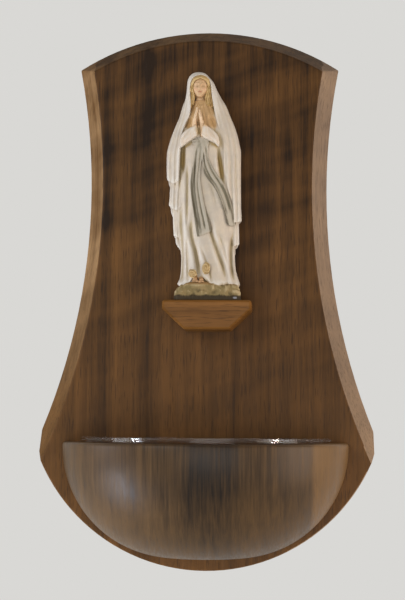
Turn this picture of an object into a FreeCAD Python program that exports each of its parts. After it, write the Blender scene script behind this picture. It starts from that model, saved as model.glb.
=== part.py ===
"""Wall-hung holy water stoup: shaped board, half-turned basin with a loose liner, shelf and carved statue.

Millimetres. +Z is up, the wall is the plane Y = 0, and the front of the stoup faces -Y.
The origin is the centre of the keyhole's entry hole, on the wall plane.
"""
import FreeCAD, Part
import math
import os
import Sketcher

DOC = FreeCAD.newDocument("holy_water_stoup")
SHEET = DOC.addObject("Spreadsheet::Sheet", "sizes")

# name, millimetres, meaning
SIZES = [
    # board
    ("board_height", 240.0, "lowest point to top of the bow"),
    ("board_thickness", 18.0, "wall face to front face"),
    ("board_half_width", 74.0, "half the width of the sawn blank"),
    ("waist_half_width", 53.0, "half the width at the waist, on the wall face"),
    ("waist_drop", 71.4, "top of the bow down to the waist"),
    ("side_radius", 284.0, "hollow of the sides, on the wall face"),
    ("top_radius", 107.5, "bow of the top, on the wall face"),
    ("corner_rise", 51.3, "lowest point up to the blank's lower corners, where the round bottom ends"),
    ("side_bevel", 7.0, "how far the sides lean in over the thickness"),
    ("top_bevel", 7.0, "how far the top leans in over the thickness"),
    # keyhole plate
    ("hanger_drop", 45.0, "top of the bow down to the entry hole"),
    ("plate_width", 16.0, "keyhole plate"),
    ("plate_height", 42.0, "keyhole plate"),
    ("plate_thickness", 1.5, "keyhole plate"),
    ("plate_corner", 2.0, "corner radius of the plate"),
    ("entry_radius", 5.0, "hole that passes a screw head"),
    ("slot_radius", 2.3, "half the width of the slot above it"),
    ("slot_rise", 8.0, "entry hole up to the top of the slot"),
    ("pocket_radius", 6.5, "room for the screw head, behind the plate"),
    ("pocket_depth", 6.0, "room for the screw head, behind the plate"),
    ("plate_screw_inset", 4.5, "plate end to screw hole"),
    # basin
    ("rim_radius", 62.4, "outside of the basin at the rim"),
    ("basin_height", 50.0, "rim to foot"),
    ("basin_rise", 56.0, "board's lowest point up to the rim"),
    ("rim_round", 1.5, "rounding of the rim's outer edge"),
    # liner
    ("liner_radius", 46.0, "outside of the cup"),
    ("liner_depth", 30.0, "rim down to the underside of the cup"),
    ("liner_wall", 2.2, "wall and floor of the cup"),
    ("liner_corner", 12.0, "outside radius between cup wall and floor"),
    ("flange_radius", 54.5, "outside of the flange"),
    ("flange_thickness", 2.0, "flange on the rim"),
    ("liner_side_gap", 0.8, "cup to basin"),
    ("liner_floor_gap", 1.0, "cup to basin, below"),
    ("liner_back_gap", 0.4, "liner to board"),
    # shelf
    ("shelf_rise", 117.0, "board's lowest point up to the shelf's top"),
    ("shelf_shift", 1.0, "the shelf and the figure stand this far to the +X side of the board's middle"),
    ("shelf_top_width", 38.2, "upper edge"),
    ("shelf_end_height", 4.0, "the ends run straight down this far, and then slant in"),
    ("shelf_bottom_width", 19.6, "lower edge"),
    ("shelf_thickness", 12.6, "upper face to lower face"),
    ("shelf_depth", 25.0, "board to front"),
    ("shelf_round", 1.2, "rounding of the shelf's edges"),
    # fasteners
    ("screw_radius", 2.0, "basin screw shank"),
    ("screw_head_radius", 3.9, "basin screw head"),
    ("screw_length", 35.0, "basin screw"),
    ("screw_tip", 4.0, "basin screw point"),
    ("small_screw_radius", 1.75, "shelf screw shank"),
    ("small_screw_head_radius", 3.4, "shelf screw head"),
    ("small_screw_length", 30.0, "shelf screw"),
    ("small_screw_tip", 3.5, "shelf screw point"),
    ("plate_screw_radius", 1.25, "plate screw shank"),
    ("plate_screw_head_radius", 2.4, "plate screw head"),
    ("plate_screw_length", 12.0, "plate screw"),
    ("plate_screw_tip", 2.5, "plate screw point"),
    ("head_sink", 0.5, "screw heads lie this far below the wall face"),
    ("hole_gap", 0.2, "screw to the hole through the board, and head to its sink"),
    ("pilot_gap", 0.05, "screw or pin to the hole that it bites in"),
    ("rim_screw_reach", 54.0, "middle of the basin to the outer screws"),
    ("rim_screw_drop", 11.0, "rim down to the outer screws"),
    ("foot_screw_drop", 41.0, "rim down to the middle screw"),
    ("shelf_screw_reach", 8.5, "middle of the shelf to its screws"),
    ("pin_radius", 1.5, "statue pin"),
    ("pin_in_shelf", 8.0, "depth of the pin in the shelf"),
    ("pin_in_statue", 5.0, "depth of the pin in the statue"),
    ("pin_end_gap", 0.5, "room past both ends of the pin"),
    # statue
    ("base_width", 28.8, "rock base"),
    ("base_depth", 21.5, "rock base"),
    ("base_height", 7.0, "rock base"),
    ("base_corner", 3.2, "corner radius of the base, seen from above"),
    ("base_round", 1.6, "rounding of the base's upper edge"),
    ("statue_stand_off", 2.0, "board to the rock base"),
]

# The figure's outline is set by level sections: height over the shelf, then how far the carving
# reaches to its right, left, front and back of the upright through the middle of the base.
# "Right" is -X, because the figure looks towards -Y.
SECTIONS = [
    ("hem", 6.5, 13.3, 13.8, 9.6, 8.6),
    ("shin", 16.0, 11.9, 12.6, 8.6, 8.2),
    ("knee", 27.0, 14.0, 14.0, 8.8, 8.2),
    ("thigh", 40.0, 16.3, 15.0, 8.6, 8.3),
    ("hip", 54.0, 17.6, 14.6, 8.6, 8.5),
    ("elbow", 65.0, 17.2, 14.3, 9.6, 8.4),
    ("breast", 74.0, 14.4, 12.4, 8.2, 7.8),
    ("shoulder", 82.0, 10.9, 7.9, 4.8, 7.4),
    ("throat", 87.5, 8.6, 4.7, 4.2, 7.0),
    ("brow", 94.0, 7.9, 2.3, 4.6, 6.6),
    ("crown", 98.2, 5.6, 0.4, 2.0, 4.2),
    ("top", 100.0, 3.6, -1.6, -0.4, 1.6),
]
SECTION_KEYS = ("height", "right", "left", "front", "back")
for section in SECTIONS:
    for key, value in zip(SECTION_KEYS, section[1:]):
        SIZES.append((section[0] + "_" + key, value, "statue section"))

SIZES += [
    ("forearm_radius", 4.0, "sleeve at the elbow"),
    ("cuff_radius", 2.7, "sleeve at the wrist"),
    ("sleeve_reach", 9.5, "middle of the figure to an elbow"),
    ("sleeve_height", 67.0, "shelf up to the elbows"),
    ("sleeve_front", 5.0, "middle of the figure forward to the elbows"),
    ("hands_offset", 3.0, "the folded hands lie this far to the figure's right"),
    ("hands_height", 73.5, "shelf up to the wrists"),
    ("hands_front", 8.6, "middle of the figure forward to the wrists"),
    ("hands_length", 10.0, "wrists to finger tips"),
    ("hands_radius", 2.1, "folded hands at the wrists"),
    ("fingers_radius", 0.9, "folded hands at the tips"),
]

for row, (alias, value, meaning) in enumerate(SIZES, start=1):
    SHEET.set("A%d" % row, alias)
    SHEET.set("B%d" % row, str(value))
    SHEET.set("C%d" % row, meaning)
    SHEET.setAlias("B%d" % row, alias)
DOC.recompute()

VALUE = {alias: float(SHEET.get(alias)) for alias, value, meaning in SIZES}

# Heights are measured from the board's lowest point, which lies this far below the origin.
LOWEST = "(sizes.hanger_drop - sizes.board_height)"

# A cutting shape reaches past the faces that it cuts by MARGIN, and past the blank's sides by OVERCUT.
MARGIN = "2"
OVERCUT = "5"
HALF_TURN = 180


def bind(thing, **rules):
    """Bind properties of an object to expressions; a double underscore stands for a dot."""
    for name, rule in rules.items():
        thing.setExpression(name.replace("__", "."), rule)


def place(thing, x="0", y="0", z="0"):
    bind(thing, Placement__Base__x=x, Placement__Base__y=y, Placement__Base__z=z)


def body_at(label, x="0", y="0", z="0"):
    body = DOC.addObject("PartDesign::Body", label)
    body.Label = label
    place(body, x, y, z)
    return body


def plane(body, role):
    return [feature for feature in body.Origin.OriginFeatures if feature.Role == role][0]


def sketch_on(body, name, role, x="0", y="0", z="0"):
    """A sketch on one of the body's own planes, moved in its own axes by x, y and z."""
    sketch = body.newObject("Sketcher::SketchObject", name)
    sketch.AttachmentSupport = [(plane(body, role), "")]
    sketch.MapMode = "FlatFace"
    bind(
        sketch,
        AttachmentOffset__Base__x=x,
        AttachmentOffset__Base__y=y,
        AttachmentOffset__Base__z=z,
    )
    return sketch


def worked_out(rule):
    """The value of an expression, for a sketch's first guess."""
    result = SHEET.evalExpression(rule)
    return float(getattr(result, "Value", result))


def pin_point(sketch, geometry, end, x_rule, y_rule):
    """Fix one end of a piece of geometry at a place given by two expressions."""
    for kind, rule in (("DistanceX", x_rule), ("DistanceY", y_rule)):
        if rule is None:
            continue
        index = sketch.addConstraint(
            Sketcher.Constraint(kind, -1, 1, geometry, end, worked_out(rule))
        )
        sketch.setExpression("Constraints[%d]" % index, rule)


def outline(sketch, corners):
    """A closed outline. Each corner is (x, y) or (x, y, bend), where bend = (x, y, side) is the centre
    of the quarter or part circle that leads on to the next corner, and side is 1 for anticlockwise."""
    spots = [FreeCAD.Vector(worked_out(c[0]), worked_out(c[1]), 0) for c in corners]
    count = len(corners)
    ends = []
    for i, corner in enumerate(corners):
        start = spots[i]
        stop = spots[(i + 1) % count]
        if len(corner) == 3:
            x_rule, y_rule, side = corner[2]
            centre = FreeCAD.Vector(worked_out(x_rule), worked_out(y_rule), 0)
            a = math.atan2(start.y - centre.y, start.x - centre.x)
            b = math.atan2(stop.y - centre.y, stop.x - centre.x)
            if side < 0:
                a, b = b, a
            circle = Part.Circle(centre, FreeCAD.Vector(0, 0, 1), (start - centre).Length)
            index = sketch.addGeometry(Part.ArcOfCircle(circle, a, b), False)
            ends.append((index, 1, 2) if side > 0 else (index, 2, 1))
        else:
            index = sketch.addGeometry(Part.LineSegment(start, stop), False)
            ends.append((index, 1, 2))
    for i, corner in enumerate(corners):
        index, first, last = ends[i]
        following = ends[(i + 1) % count]
        sketch.addConstraint(Sketcher.Constraint("Coincident", index, last, following[0], following[1]))
        pin_point(sketch, index, first, corner[0], corner[1])
    for i, corner in enumerate(corners):
        if len(corner) == 3:
            x_rule, y_rule, side = corner[2]
            pin_centre(sketch, ends[i][0], x_rule, y_rule, corner, corners[(i + 1) % count])


def pin_centre(sketch, index, x_rule, y_rule, corner, following):
    """Fix an arc's centre by one coordinate: its two ends settle the other one."""
    start = (worked_out(corner[0]), worked_out(corner[1]))
    stop = (worked_out(following[0]), worked_out(following[1]))
    if abs(stop[0] - start[0]) >= abs(stop[1] - start[1]):
        pin_point(sketch, index, 3, None, y_rule)
    else:
        pin_point(sketch, index, 3, x_rule, None)


def circles(sketch, spots):
    """Circles given by expressions for centre and radius."""
    for x_rule, y_rule, radius_rule in spots:
        centre = FreeCAD.Vector(worked_out(x_rule), worked_out(y_rule), 0)
        circle = Part.Circle(centre, FreeCAD.Vector(0, 0, 1), worked_out(radius_rule))
        index = sketch.addGeometry(circle, False)
        pin_point(sketch, index, 3, x_rule, y_rule)
        rule = sketch.addConstraint(Sketcher.Constraint("Radius", index, worked_out(radius_rule)))
        sketch.setExpression("Constraints[%d]" % rule, radius_rule)


def cut_checked(body, feature):
    """Recompute and make sure that a cut took something away."""
    before = body.Tip.BaseFeature if hasattr(body.Tip, "BaseFeature") else None
    DOC.recompute()
    if before is not None and before.Shape.Volume - feature.Shape.Volume < 0.01:
        raise RuntimeError(body.Label + ": " + feature.Name + " cuts nothing")


def pad(body, sketch, length):
    feature = body.newObject("PartDesign::Pad", "pad_" + sketch.Name)
    feature.Profile = sketch
    bind(feature, Length=length)
    sketch.Visibility = False
    DOC.recompute()
    return feature


def pocket(body, sketch, length, towards_front=True):
    """Cut along the sketch's normal, which on the XZ plane points to the front."""
    feature = body.newObject("PartDesign::Pocket", "pocket_" + sketch.Name)
    feature.Profile = sketch
    feature.Reversed = towards_front
    bind(feature, Length=length)
    cut_checked(body, feature)
    return feature


def turn(body, sketch, kind, axis, angle, midplane=False, reverse=False):
    feature = body.newObject("PartDesign::" + kind, kind.lower() + "_" + sketch.Name)
    feature.Profile = sketch
    feature.ReferenceAxis = (sketch, [axis])
    feature.Angle = angle
    feature.Midplane = midplane
    feature.Reversed = reverse
    if kind == "Groove":
        cut_checked(body, feature)
    else:
        DOC.recompute()
    return feature


# ---------------------------------------------------------------- screws
# cross recess: arm length over head radius, arm width over shank radius, depth over head depth
RECESS_LENGTH = "1.1"
RECESS_WIDTH = "0.4"
RECESS_DEPTH = "0.8"
TIP_SHARE = "8"


class ScrewKind:
    """Expressions for one kind of countersunk wood screw with a cross recess."""

    def __init__(self, prefix):
        self.radius = "sizes." + prefix + "_radius"
        self.head = "sizes." + prefix + "_head_radius"
        self.length = "sizes." + prefix + "_length"
        self.tip = "sizes." + prefix + "_tip"
        # A head of 90 degrees is as deep as it is wider than the shank.
        self.head_depth = "(%s - %s)" % (self.head, self.radius)


BIG_SCREW = ScrewKind("screw")
SMALL_SCREW = ScrewKind("small_screw")
PLATE_SCREW = ScrewKind("plate_screw")


def screw_group(label, kind, spots, sink):
    """Countersunk screws that point to the front from just inside the wall face."""
    screws = []
    for number, (x, z) in enumerate(spots, start=1):
        name = "%s_%d" % (label, number)
        head = DOC.addObject("Part::Cone", name + "_head")
        bind(head, Radius1=kind.head, Radius2=kind.radius, Height=kind.head_depth)
        shank = DOC.addObject("Part::Cylinder", name + "_shank")
        bind(shank, Radius=kind.radius, Height="%s - %s" % (kind.length, kind.tip))
        tip = DOC.addObject("Part::Cone", name + "_tip")
        bind(tip, Radius1=kind.radius, Radius2="%s / %s" % (kind.radius, TIP_SHARE), Height=kind.tip)
        bind(tip, Placement__Base__z="%s - %s" % (kind.length, kind.tip))
        solid = DOC.addObject("Part::MultiFuse", name + "_blank")
        solid.Shapes = [head, shank, tip]
        bars = []
        for turned in (0, 1):
            bar = DOC.addObject("Part::Box", "%s_recess_%d" % (name, turned))
            long_side = "%s * %s" % (kind.head, RECESS_LENGTH)
            short_side = "%s * %s" % (kind.radius, RECESS_WIDTH)
            sides = (long_side, short_side) if turned else (short_side, long_side)
            deep = "%s * %s + %s" % (kind.head_depth, RECESS_DEPTH, MARGIN)
            bind(bar, Length=sides[0], Width=sides[1], Height=deep)
            place(bar, "-(%s) / 2" % sides[0], "-(%s) / 2" % sides[1], "-" + MARGIN)
            bars.append(bar)
        cross = DOC.addObject("Part::MultiFuse", name + "_cross")
        cross.Shapes = bars
        screw = DOC.addObject("Part::Cut", name)
        screw.Base = solid
        screw.Tool = cross
        screw.Placement.Rotation = FreeCAD.Rotation(FreeCAD.Vector(1, 0, 0), 90)
        place(screw, x, "-(%s)" % sink, z)
        screws.append(screw)
    group = DOC.addObject("Part::Compound", label)
    group.Label = label
    group.Links = screws
    place(group, z="0")
    return group


def screw_holes(body, name, kind, spots):
    """Holes through the board with a countersink at the back, with room round the screws."""
    through = sketch_on(body, name + "_holes", "XZ_Plane")
    circles(through, [(x, z, kind.radius + " + sizes.hole_gap") for x, z in spots])
    pocket(body, through, "sizes.board_thickness + " + MARGIN)
    for number, (x, z) in enumerate(spots, start=1):
        sink = body.newObject("PartDesign::SubtractiveCone", "%s_sink_%d" % (name, number))
        wide = "%s + sizes.hole_gap + sizes.head_sink" % kind.head
        bind(sink, Radius1=wide, Radius2=kind.radius, Height="%s - %s" % (wide, kind.radius))
        sink.AttachmentSupport = [(plane(body, "XZ_Plane"), "")]
        sink.MapMode = "FlatFace"
        bind(sink, AttachmentOffset__Base__x=x, AttachmentOffset__Base__y=z)
        cut_checked(body, sink)


# ---------------------------------------------------------------- backboard
RIM_LEVEL = "sizes.basin_rise"
BASIN_SCREWS = [
    ("-sizes.rim_screw_reach", "%s - sizes.rim_screw_drop" % RIM_LEVEL),
    ("sizes.rim_screw_reach", "%s - sizes.rim_screw_drop" % RIM_LEVEL),
    ("0", "%s - sizes.foot_screw_drop" % RIM_LEVEL),
]
SHELF_MIDDLE = "sizes.shelf_rise - sizes.shelf_thickness / 2"
SHELF_SCREWS = [
    ("sizes.shelf_shift - sizes.shelf_screw_reach", SHELF_MIDDLE),
    ("sizes.shelf_shift + sizes.shelf_screw_reach", SHELF_MIDDLE),
]
ENTRY_LEVEL = "(sizes.board_height - sizes.hanger_drop)"
PLATE_MIDDLE = "(%s + sizes.slot_rise / 2)" % ENTRY_LEVEL
PLATE_HOLE_STEP = "(sizes.plate_height / 2 - sizes.plate_screw_inset)"
PLATE_SCREWS = [
    ("0", "%s - %s" % (PLATE_MIDDLE, PLATE_HOLE_STEP)),
    ("0", "%s + %s" % (PLATE_MIDDLE, PLATE_HOLE_STEP)),
]


def rounded_plate(sketch, half_width, low, high, corner):
    """A rectangle with round corners, symmetrical about the upright axis."""
    inner = "(%s - %s)" % (half_width, corner)
    left = "-" + half_width
    outline(
        sketch,
        [
            ("-" + inner, low),
            (inner, low, (inner, "%s + %s" % (low, corner), 1)),
            (half_width, "%s + %s" % (low, corner)),
            (half_width, "%s - %s" % (high, corner), (inner, "%s - %s" % (high, corner), 1)),
            (inner, high),
            ("-" + inner, high, ("-" + inner, "%s - %s" % (high, corner), 1)),
            (left, "%s - %s" % (high, corner)),
            (left, "%s + %s" % (low, corner), ("-" + inner, "%s + %s" % (low, corner), 1)),
        ],
    )


def keyhole_pocket(sketch):
    """The stadium-shaped room for a screw head."""
    radius = "sizes.pocket_radius"
    top = "(%s + sizes.slot_rise)" % ENTRY_LEVEL
    outline(
        sketch,
        [
            ("-" + radius, ENTRY_LEVEL, ("0", ENTRY_LEVEL, 1)),
            (radius, ENTRY_LEVEL),
            (radius, top, ("0", top, 1)),
            ("-" + radius, top),
        ],
    )


SIDE_SWEEP = 70
TOP_SWEEP = 120


def make_backboard():
    body = body_at("backboard", z=LOWEST)
    half = "sizes.board_half_width"
    rise = "sizes.corner_rise"
    bottom_radius = "((%s * %s + %s * %s) / (2 * %s))" % (half, half, rise, rise, rise)
    blank = sketch_on(body, "blank", "XZ_Plane")
    outline(
        blank,
        [
            ("-" + half, rise, ("0", bottom_radius, 1)),
            (half, rise),
            (half, "sizes.board_height"),
            ("-" + half, "sizes.board_height"),
        ],
    )
    pad(body, blank, "sizes.board_thickness")

    # The hollow sides are cut by a cone about an axis square to the wall, so that they lean in
    # towards the front. The sketch's own upright axis is that axis, and its x is minus the radius.
    side = sketch_on(
        body,
        "side_cutter",
        "XY_Plane",
        x="sizes.waist_half_width + sizes.side_radius",
        z="sizes.board_height - sizes.waist_drop",
    )
    side_lean = "sizes.side_bevel / sizes.board_thickness * " + MARGIN
    reach = "(sizes.board_half_width - sizes.waist_half_width + %s)" % OVERCUT
    outline(
        side,
        [
            ("-sizes.side_radius + %s" % side_lean, MARGIN),
            (
                "-sizes.side_radius - sizes.side_bevel - %s" % side_lean,
                "-sizes.board_thickness - %s" % MARGIN,
            ),
            ("-sizes.side_radius + %s" % reach, "-sizes.board_thickness - %s" % MARGIN),
            ("-sizes.side_radius + %s" % reach, MARGIN),
        ],
    )
    groove = turn(body, side, "Groove", "V_Axis", SIDE_SWEEP, midplane=True)
    mirror = body.newObject("PartDesign::Mirrored", "other_side")
    mirror.Originals = [groove]
    mirror.MirrorPlane = (plane(body, "YZ_Plane"), [""])
    body.Tip = mirror
    DOC.recompute()

    # The bow of the top is cut the same way, from outside.
    top = sketch_on(
        body,
        "top_cutter",
        "YZ_Plane",
        y="sizes.board_height - sizes.top_radius",
    )
    top_lean = "sizes.top_bevel / sizes.board_thickness * " + MARGIN
    outline(
        top,
        [
            ("-sizes.board_thickness - %s" % MARGIN, "sizes.top_radius - sizes.top_bevel - %s" % top_lean),
            (MARGIN, "sizes.top_radius + %s" % top_lean),
            (MARGIN, "sizes.top_radius + sizes.board_half_width"),
            ("-sizes.board_thickness - %s" % MARGIN, "sizes.top_radius + sizes.board_half_width"),
        ],
    )
    turn(body, top, "Groove", "H_Axis", TOP_SWEEP, midplane=True)

    # back: recess for the keyhole plate, room for the wall screw's head, screw holes
    recess = sketch_on(body, "plate_recess", "XZ_Plane")
    rounded_plate(
        recess,
        "(sizes.plate_width / 2 + sizes.hole_gap)",
        "(%s - sizes.plate_height / 2 - sizes.hole_gap)" % PLATE_MIDDLE,
        "(%s + sizes.plate_height / 2 + sizes.hole_gap)" % PLATE_MIDDLE,
        "sizes.plate_corner",
    )
    pocket(body, recess, "sizes.plate_thickness")
    room = sketch_on(body, "head_room", "XZ_Plane")
    keyhole_pocket(room)
    pocket(body, room, "sizes.plate_thickness + sizes.pocket_depth")
    pilots = sketch_on(body, "plate_pilots", "XZ_Plane")
    circles(pilots, [(x, z, PLATE_SCREW.radius + " + sizes.pilot_gap") for x, z in PLATE_SCREWS])
    pocket(body, pilots, PLATE_SCREW.length + " + sizes.pin_end_gap")
    screw_holes(body, "basin", BIG_SCREW, BASIN_SCREWS)
    screw_holes(body, "shelf", SMALL_SCREW, SHELF_SCREWS)
    return body


# ---------------------------------------------------------------- keyhole plate
def make_hanger_plate():
    body = body_at("hanger_plate", z=LOWEST)
    shape = sketch_on(body, "plate_outline", "XZ_Plane")
    rounded_plate(
        shape,
        "(sizes.plate_width / 2)",
        "(%s - sizes.plate_height / 2)" % PLATE_MIDDLE,
        "(%s + sizes.plate_height / 2)" % PLATE_MIDDLE,
        "sizes.plate_corner",
    )
    pad(body, shape, "sizes.plate_thickness")
    entry = sketch_on(body, "entry_hole", "XZ_Plane")
    circles(entry, [("0", ENTRY_LEVEL, "sizes.entry_radius")])
    pocket(body, entry, "sizes.plate_thickness + " + MARGIN)
    slot = sketch_on(body, "slot", "XZ_Plane")
    top = "(%s + sizes.slot_rise)" % ENTRY_LEVEL
    outline(
        slot,
        [
            ("-sizes.slot_radius", ENTRY_LEVEL),
            ("sizes.slot_radius", ENTRY_LEVEL),
            ("sizes.slot_radius", top, ("0", top, 1)),
            ("-sizes.slot_radius", top),
        ],
    )
    pocket(body, slot, "sizes.plate_thickness + " + MARGIN)
    holes = sketch_on(body, "plate_holes", "XZ_Plane")
    circles(holes, [(x, z, PLATE_SCREW.radius + " + sizes.hole_gap") for x, z in PLATE_SCREWS])
    pocket(body, holes, "sizes.plate_thickness + " + MARGIN)
    for number, (x, z) in enumerate(PLATE_SCREWS, start=1):
        sink = body.newObject("PartDesign::SubtractiveCone", "plate_sink_%d" % number)
        wide = PLATE_SCREW.head + " + sizes.hole_gap"
        narrow = "(%s - sizes.plate_thickness)" % wide
        bind(sink, Radius1=wide, Radius2=narrow, Height="sizes.plate_thickness")
        sink.AttachmentSupport = [(plane(body, "XZ_Plane"), "")]
        sink.MapMode = "FlatFace"
        bind(sink, AttachmentOffset__Base__x=x, AttachmentOffset__Base__y=z)
        cut_checked(body, sink)
    return body


# ---------------------------------------------------------------- basin
def make_basin():
    body = body_at("basin", y="-sizes.board_thickness", z=LOWEST + " + sizes.basin_rise")
    bowl = sketch_on(body, "bowl_profile", "XZ_Plane")
    belly = "(sizes.basin_height - sizes.rim_round)"
    foot = "(sizes.rim_radius - %s)" % belly
    hollow = "(sizes.liner_radius + sizes.liner_side_gap)"
    floor = "(sizes.liner_depth + sizes.liner_floor_gap)"
    bend = "sizes.liner_corner"
    outline(
        bowl,
        [
            ("0", "-sizes.basin_height"),
            (foot, "-sizes.basin_height", (foot, "-sizes.rim_round", 1)),
            ("sizes.rim_radius", "-sizes.rim_round", ("sizes.rim_radius - sizes.rim_round", "-sizes.rim_round", 1)),
            ("sizes.rim_radius - sizes.rim_round", "0"),
            (hollow, "0"),
            (hollow, "%s - %s" % (bend, floor), ("%s - %s" % (hollow, bend), "%s - %s" % (bend, floor), -1)),
            ("%s - %s" % (hollow, bend), "-" + floor),
            ("0", "-" + floor),
        ],
    )
    turn(body, bowl, "Revolution", "V_Axis", HALF_TURN, reverse=True)
    pilots = sketch_on(body, "basin_pilots", "XZ_Plane")
    spots = [(x, "%s - %s" % (z, RIM_LEVEL)) for x, z in BASIN_SCREWS]
    circles(pilots, [(x, z, "sizes.screw_radius + sizes.pilot_gap") for x, z in spots])
    bite = "sizes.screw_length + sizes.head_sink - sizes.board_thickness + sizes.pin_end_gap"
    pocket(body, pilots, bite)
    return body


# ---------------------------------------------------------------- liner
def half_cup(sketch, radius, floor, bend, top, flange=None):
    """Half the section of a cup with a rounded floor, and a flange if one is given as (radius, underside)."""
    corners = [
        ("0", floor),
        ("%s - %s" % (radius, bend), floor, ("%s - %s" % (radius, bend), "%s + %s" % (floor, bend), 1)),
        (radius, "%s + %s" % (floor, bend)),
    ]
    if flange:
        corners += [(radius, flange[1]), flange, (flange[0], top)]
    else:
        corners.append((radius, top))
    outline(sketch, corners + [("0", top)])


def make_liner():
    blank = body_at("liner_blank")
    outside = sketch_on(blank, "cup_outside", "XZ_Plane")
    half_cup(
        outside,
        "sizes.liner_radius",
        "(-sizes.liner_depth)",
        "sizes.liner_corner",
        "sizes.flange_thickness",
        ("sizes.flange_radius", "0"),
    )
    turn(blank, outside, "Revolution", "V_Axis", HALF_TURN, reverse=True)

    # The hollow is a smaller half cup that stops one wall short of the flat back.
    hollow = body_at("liner_hollow")
    inside = sketch_on(hollow, "cup_inside", "XZ_Plane")
    half_cup(
        inside,
        "(sizes.liner_radius - sizes.liner_wall)",
        "(sizes.liner_wall - sizes.liner_depth)",
        "(sizes.liner_corner - sizes.liner_wall)",
        "(sizes.flange_thickness + %s)" % MARGIN,
    )
    turn(hollow, inside, "Revolution", "V_Axis", HALF_TURN, reverse=True)
    back = sketch_on(hollow, "back_wall", "XZ_Plane")
    wide = "(sizes.flange_radius + %s)" % MARGIN
    high = "(sizes.liner_depth + %s)" % MARGIN
    outline(
        back,
        [
            ("-" + wide, "-" + high),
            (wide, "-" + high),
            (wide, high),
            ("-" + wide, high),
        ],
    )
    pocket(hollow, back, "sizes.liner_wall")

    liner = DOC.addObject("Part::Cut", "basin_liner")
    liner.Label = "basin_liner"
    liner.Base = blank
    liner.Tool = hollow
    place(
        liner,
        y="-sizes.board_thickness - sizes.liner_back_gap",
        z=LOWEST + " + sizes.basin_rise",
    )
    return liner


# ---------------------------------------------------------------- shelf
SHELF_TOP_LEVEL = LOWEST + " + sizes.shelf_rise"
STATUE_MIDDLE = "(sizes.statue_stand_off + sizes.base_depth / 2)"


def make_shelf():
    body = body_at("statue_shelf", "sizes.shelf_shift", "-sizes.board_thickness", SHELF_TOP_LEVEL)
    front = sketch_on(body, "shelf_front", "XZ_Plane")
    outline(
        front,
        [
            ("-sizes.shelf_bottom_width / 2", "-sizes.shelf_thickness"),
            ("sizes.shelf_bottom_width / 2", "-sizes.shelf_thickness"),
            ("sizes.shelf_top_width / 2", "-sizes.shelf_end_height"),
            ("sizes.shelf_top_width / 2", "0"),
            ("-sizes.shelf_top_width / 2", "0"),
            ("-sizes.shelf_top_width / 2", "-sizes.shelf_end_height"),
        ],
    )
    block = pad(body, front, "sizes.shelf_depth")
    rounded = body.newObject("PartDesign::Fillet", "shelf_edges")
    depth = VALUE["shelf_depth"]
    chosen = []
    for number, edge in enumerate(block.Shape.Edges, start=1):
        middle = edge.CenterOfMass
        at_front = abs(middle.y + depth) < 0.01
        runs_back = abs(middle.y + depth / 2) < 0.01
        if at_front or runs_back:
            chosen.append("Edge%d" % number)
    rounded.Base = (block, chosen)
    bind(rounded, Radius="sizes.shelf_round")
    DOC.recompute()
    pilots = sketch_on(body, "shelf_pilots", "XZ_Plane")
    circles(
        pilots,
        [
            (
                x + " - sizes.shelf_shift",
                "-sizes.shelf_thickness / 2",
                "sizes.small_screw_radius + sizes.pilot_gap",
            )
            for x, z in SHELF_SCREWS
        ],
    )
    bite = "sizes.small_screw_length + sizes.head_sink - sizes.board_thickness + sizes.pin_end_gap"
    pocket(body, pilots, bite)
    socket = sketch_on(body, "pin_socket", "XY_Plane")
    circles(socket, [("0", "-" + STATUE_MIDDLE, "sizes.pin_radius + sizes.pilot_gap")])
    pocket(body, socket, "sizes.pin_in_shelf + sizes.pin_end_gap", towards_front=False)
    return body


def make_pin():
    pin = DOC.addObject("Part::Cylinder", "statue_pin")
    pin.Label = "statue_pin"
    bind(pin, Radius="sizes.pin_radius", Height="sizes.pin_in_shelf + sizes.pin_in_statue")
    place(
        pin,
        x="sizes.shelf_shift",
        y="-sizes.board_thickness - %s" % STATUE_MIDDLE,
        z=SHELF_TOP_LEVEL + " - sizes.pin_in_shelf",
    )
    return pin


# ---------------------------------------------------------------- statue
SECTION_POINTS = 20


def level_section(name):
    """A closed smooth curve through the four reaches of one section, in the statue's own frame."""
    right = VALUE[name + "_right"]
    left = VALUE[name + "_left"]
    front = VALUE[name + "_front"]
    back = VALUE[name + "_back"]
    middle_x = (left - right) / 2
    middle_y = (back - front) / 2
    points = []
    for i in range(SECTION_POINTS):
        angle = 2 * math.pi * i / SECTION_POINTS
        x = middle_x + (left + right) / 2 * math.cos(angle)
        y = middle_y + (back + front) / 2 * math.sin(angle)
        points.append(FreeCAD.Vector(x, y, VALUE[name + "_height"]))
    curve = Part.BSplineCurve()
    curve.interpolate(points, PeriodicFlag=True)
    return Part.Wire([curve.toShape()])


def limb(start, stop, start_radius, stop_radius):
    """A tapered limb with round ends."""
    along = stop - start
    cone = Part.makeCone(start_radius, stop_radius, along.Length, start, along)
    first = Part.makeSphere(start_radius, start)
    last = Part.makeSphere(stop_radius, stop)
    return cone.fuse([first, last])


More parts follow.
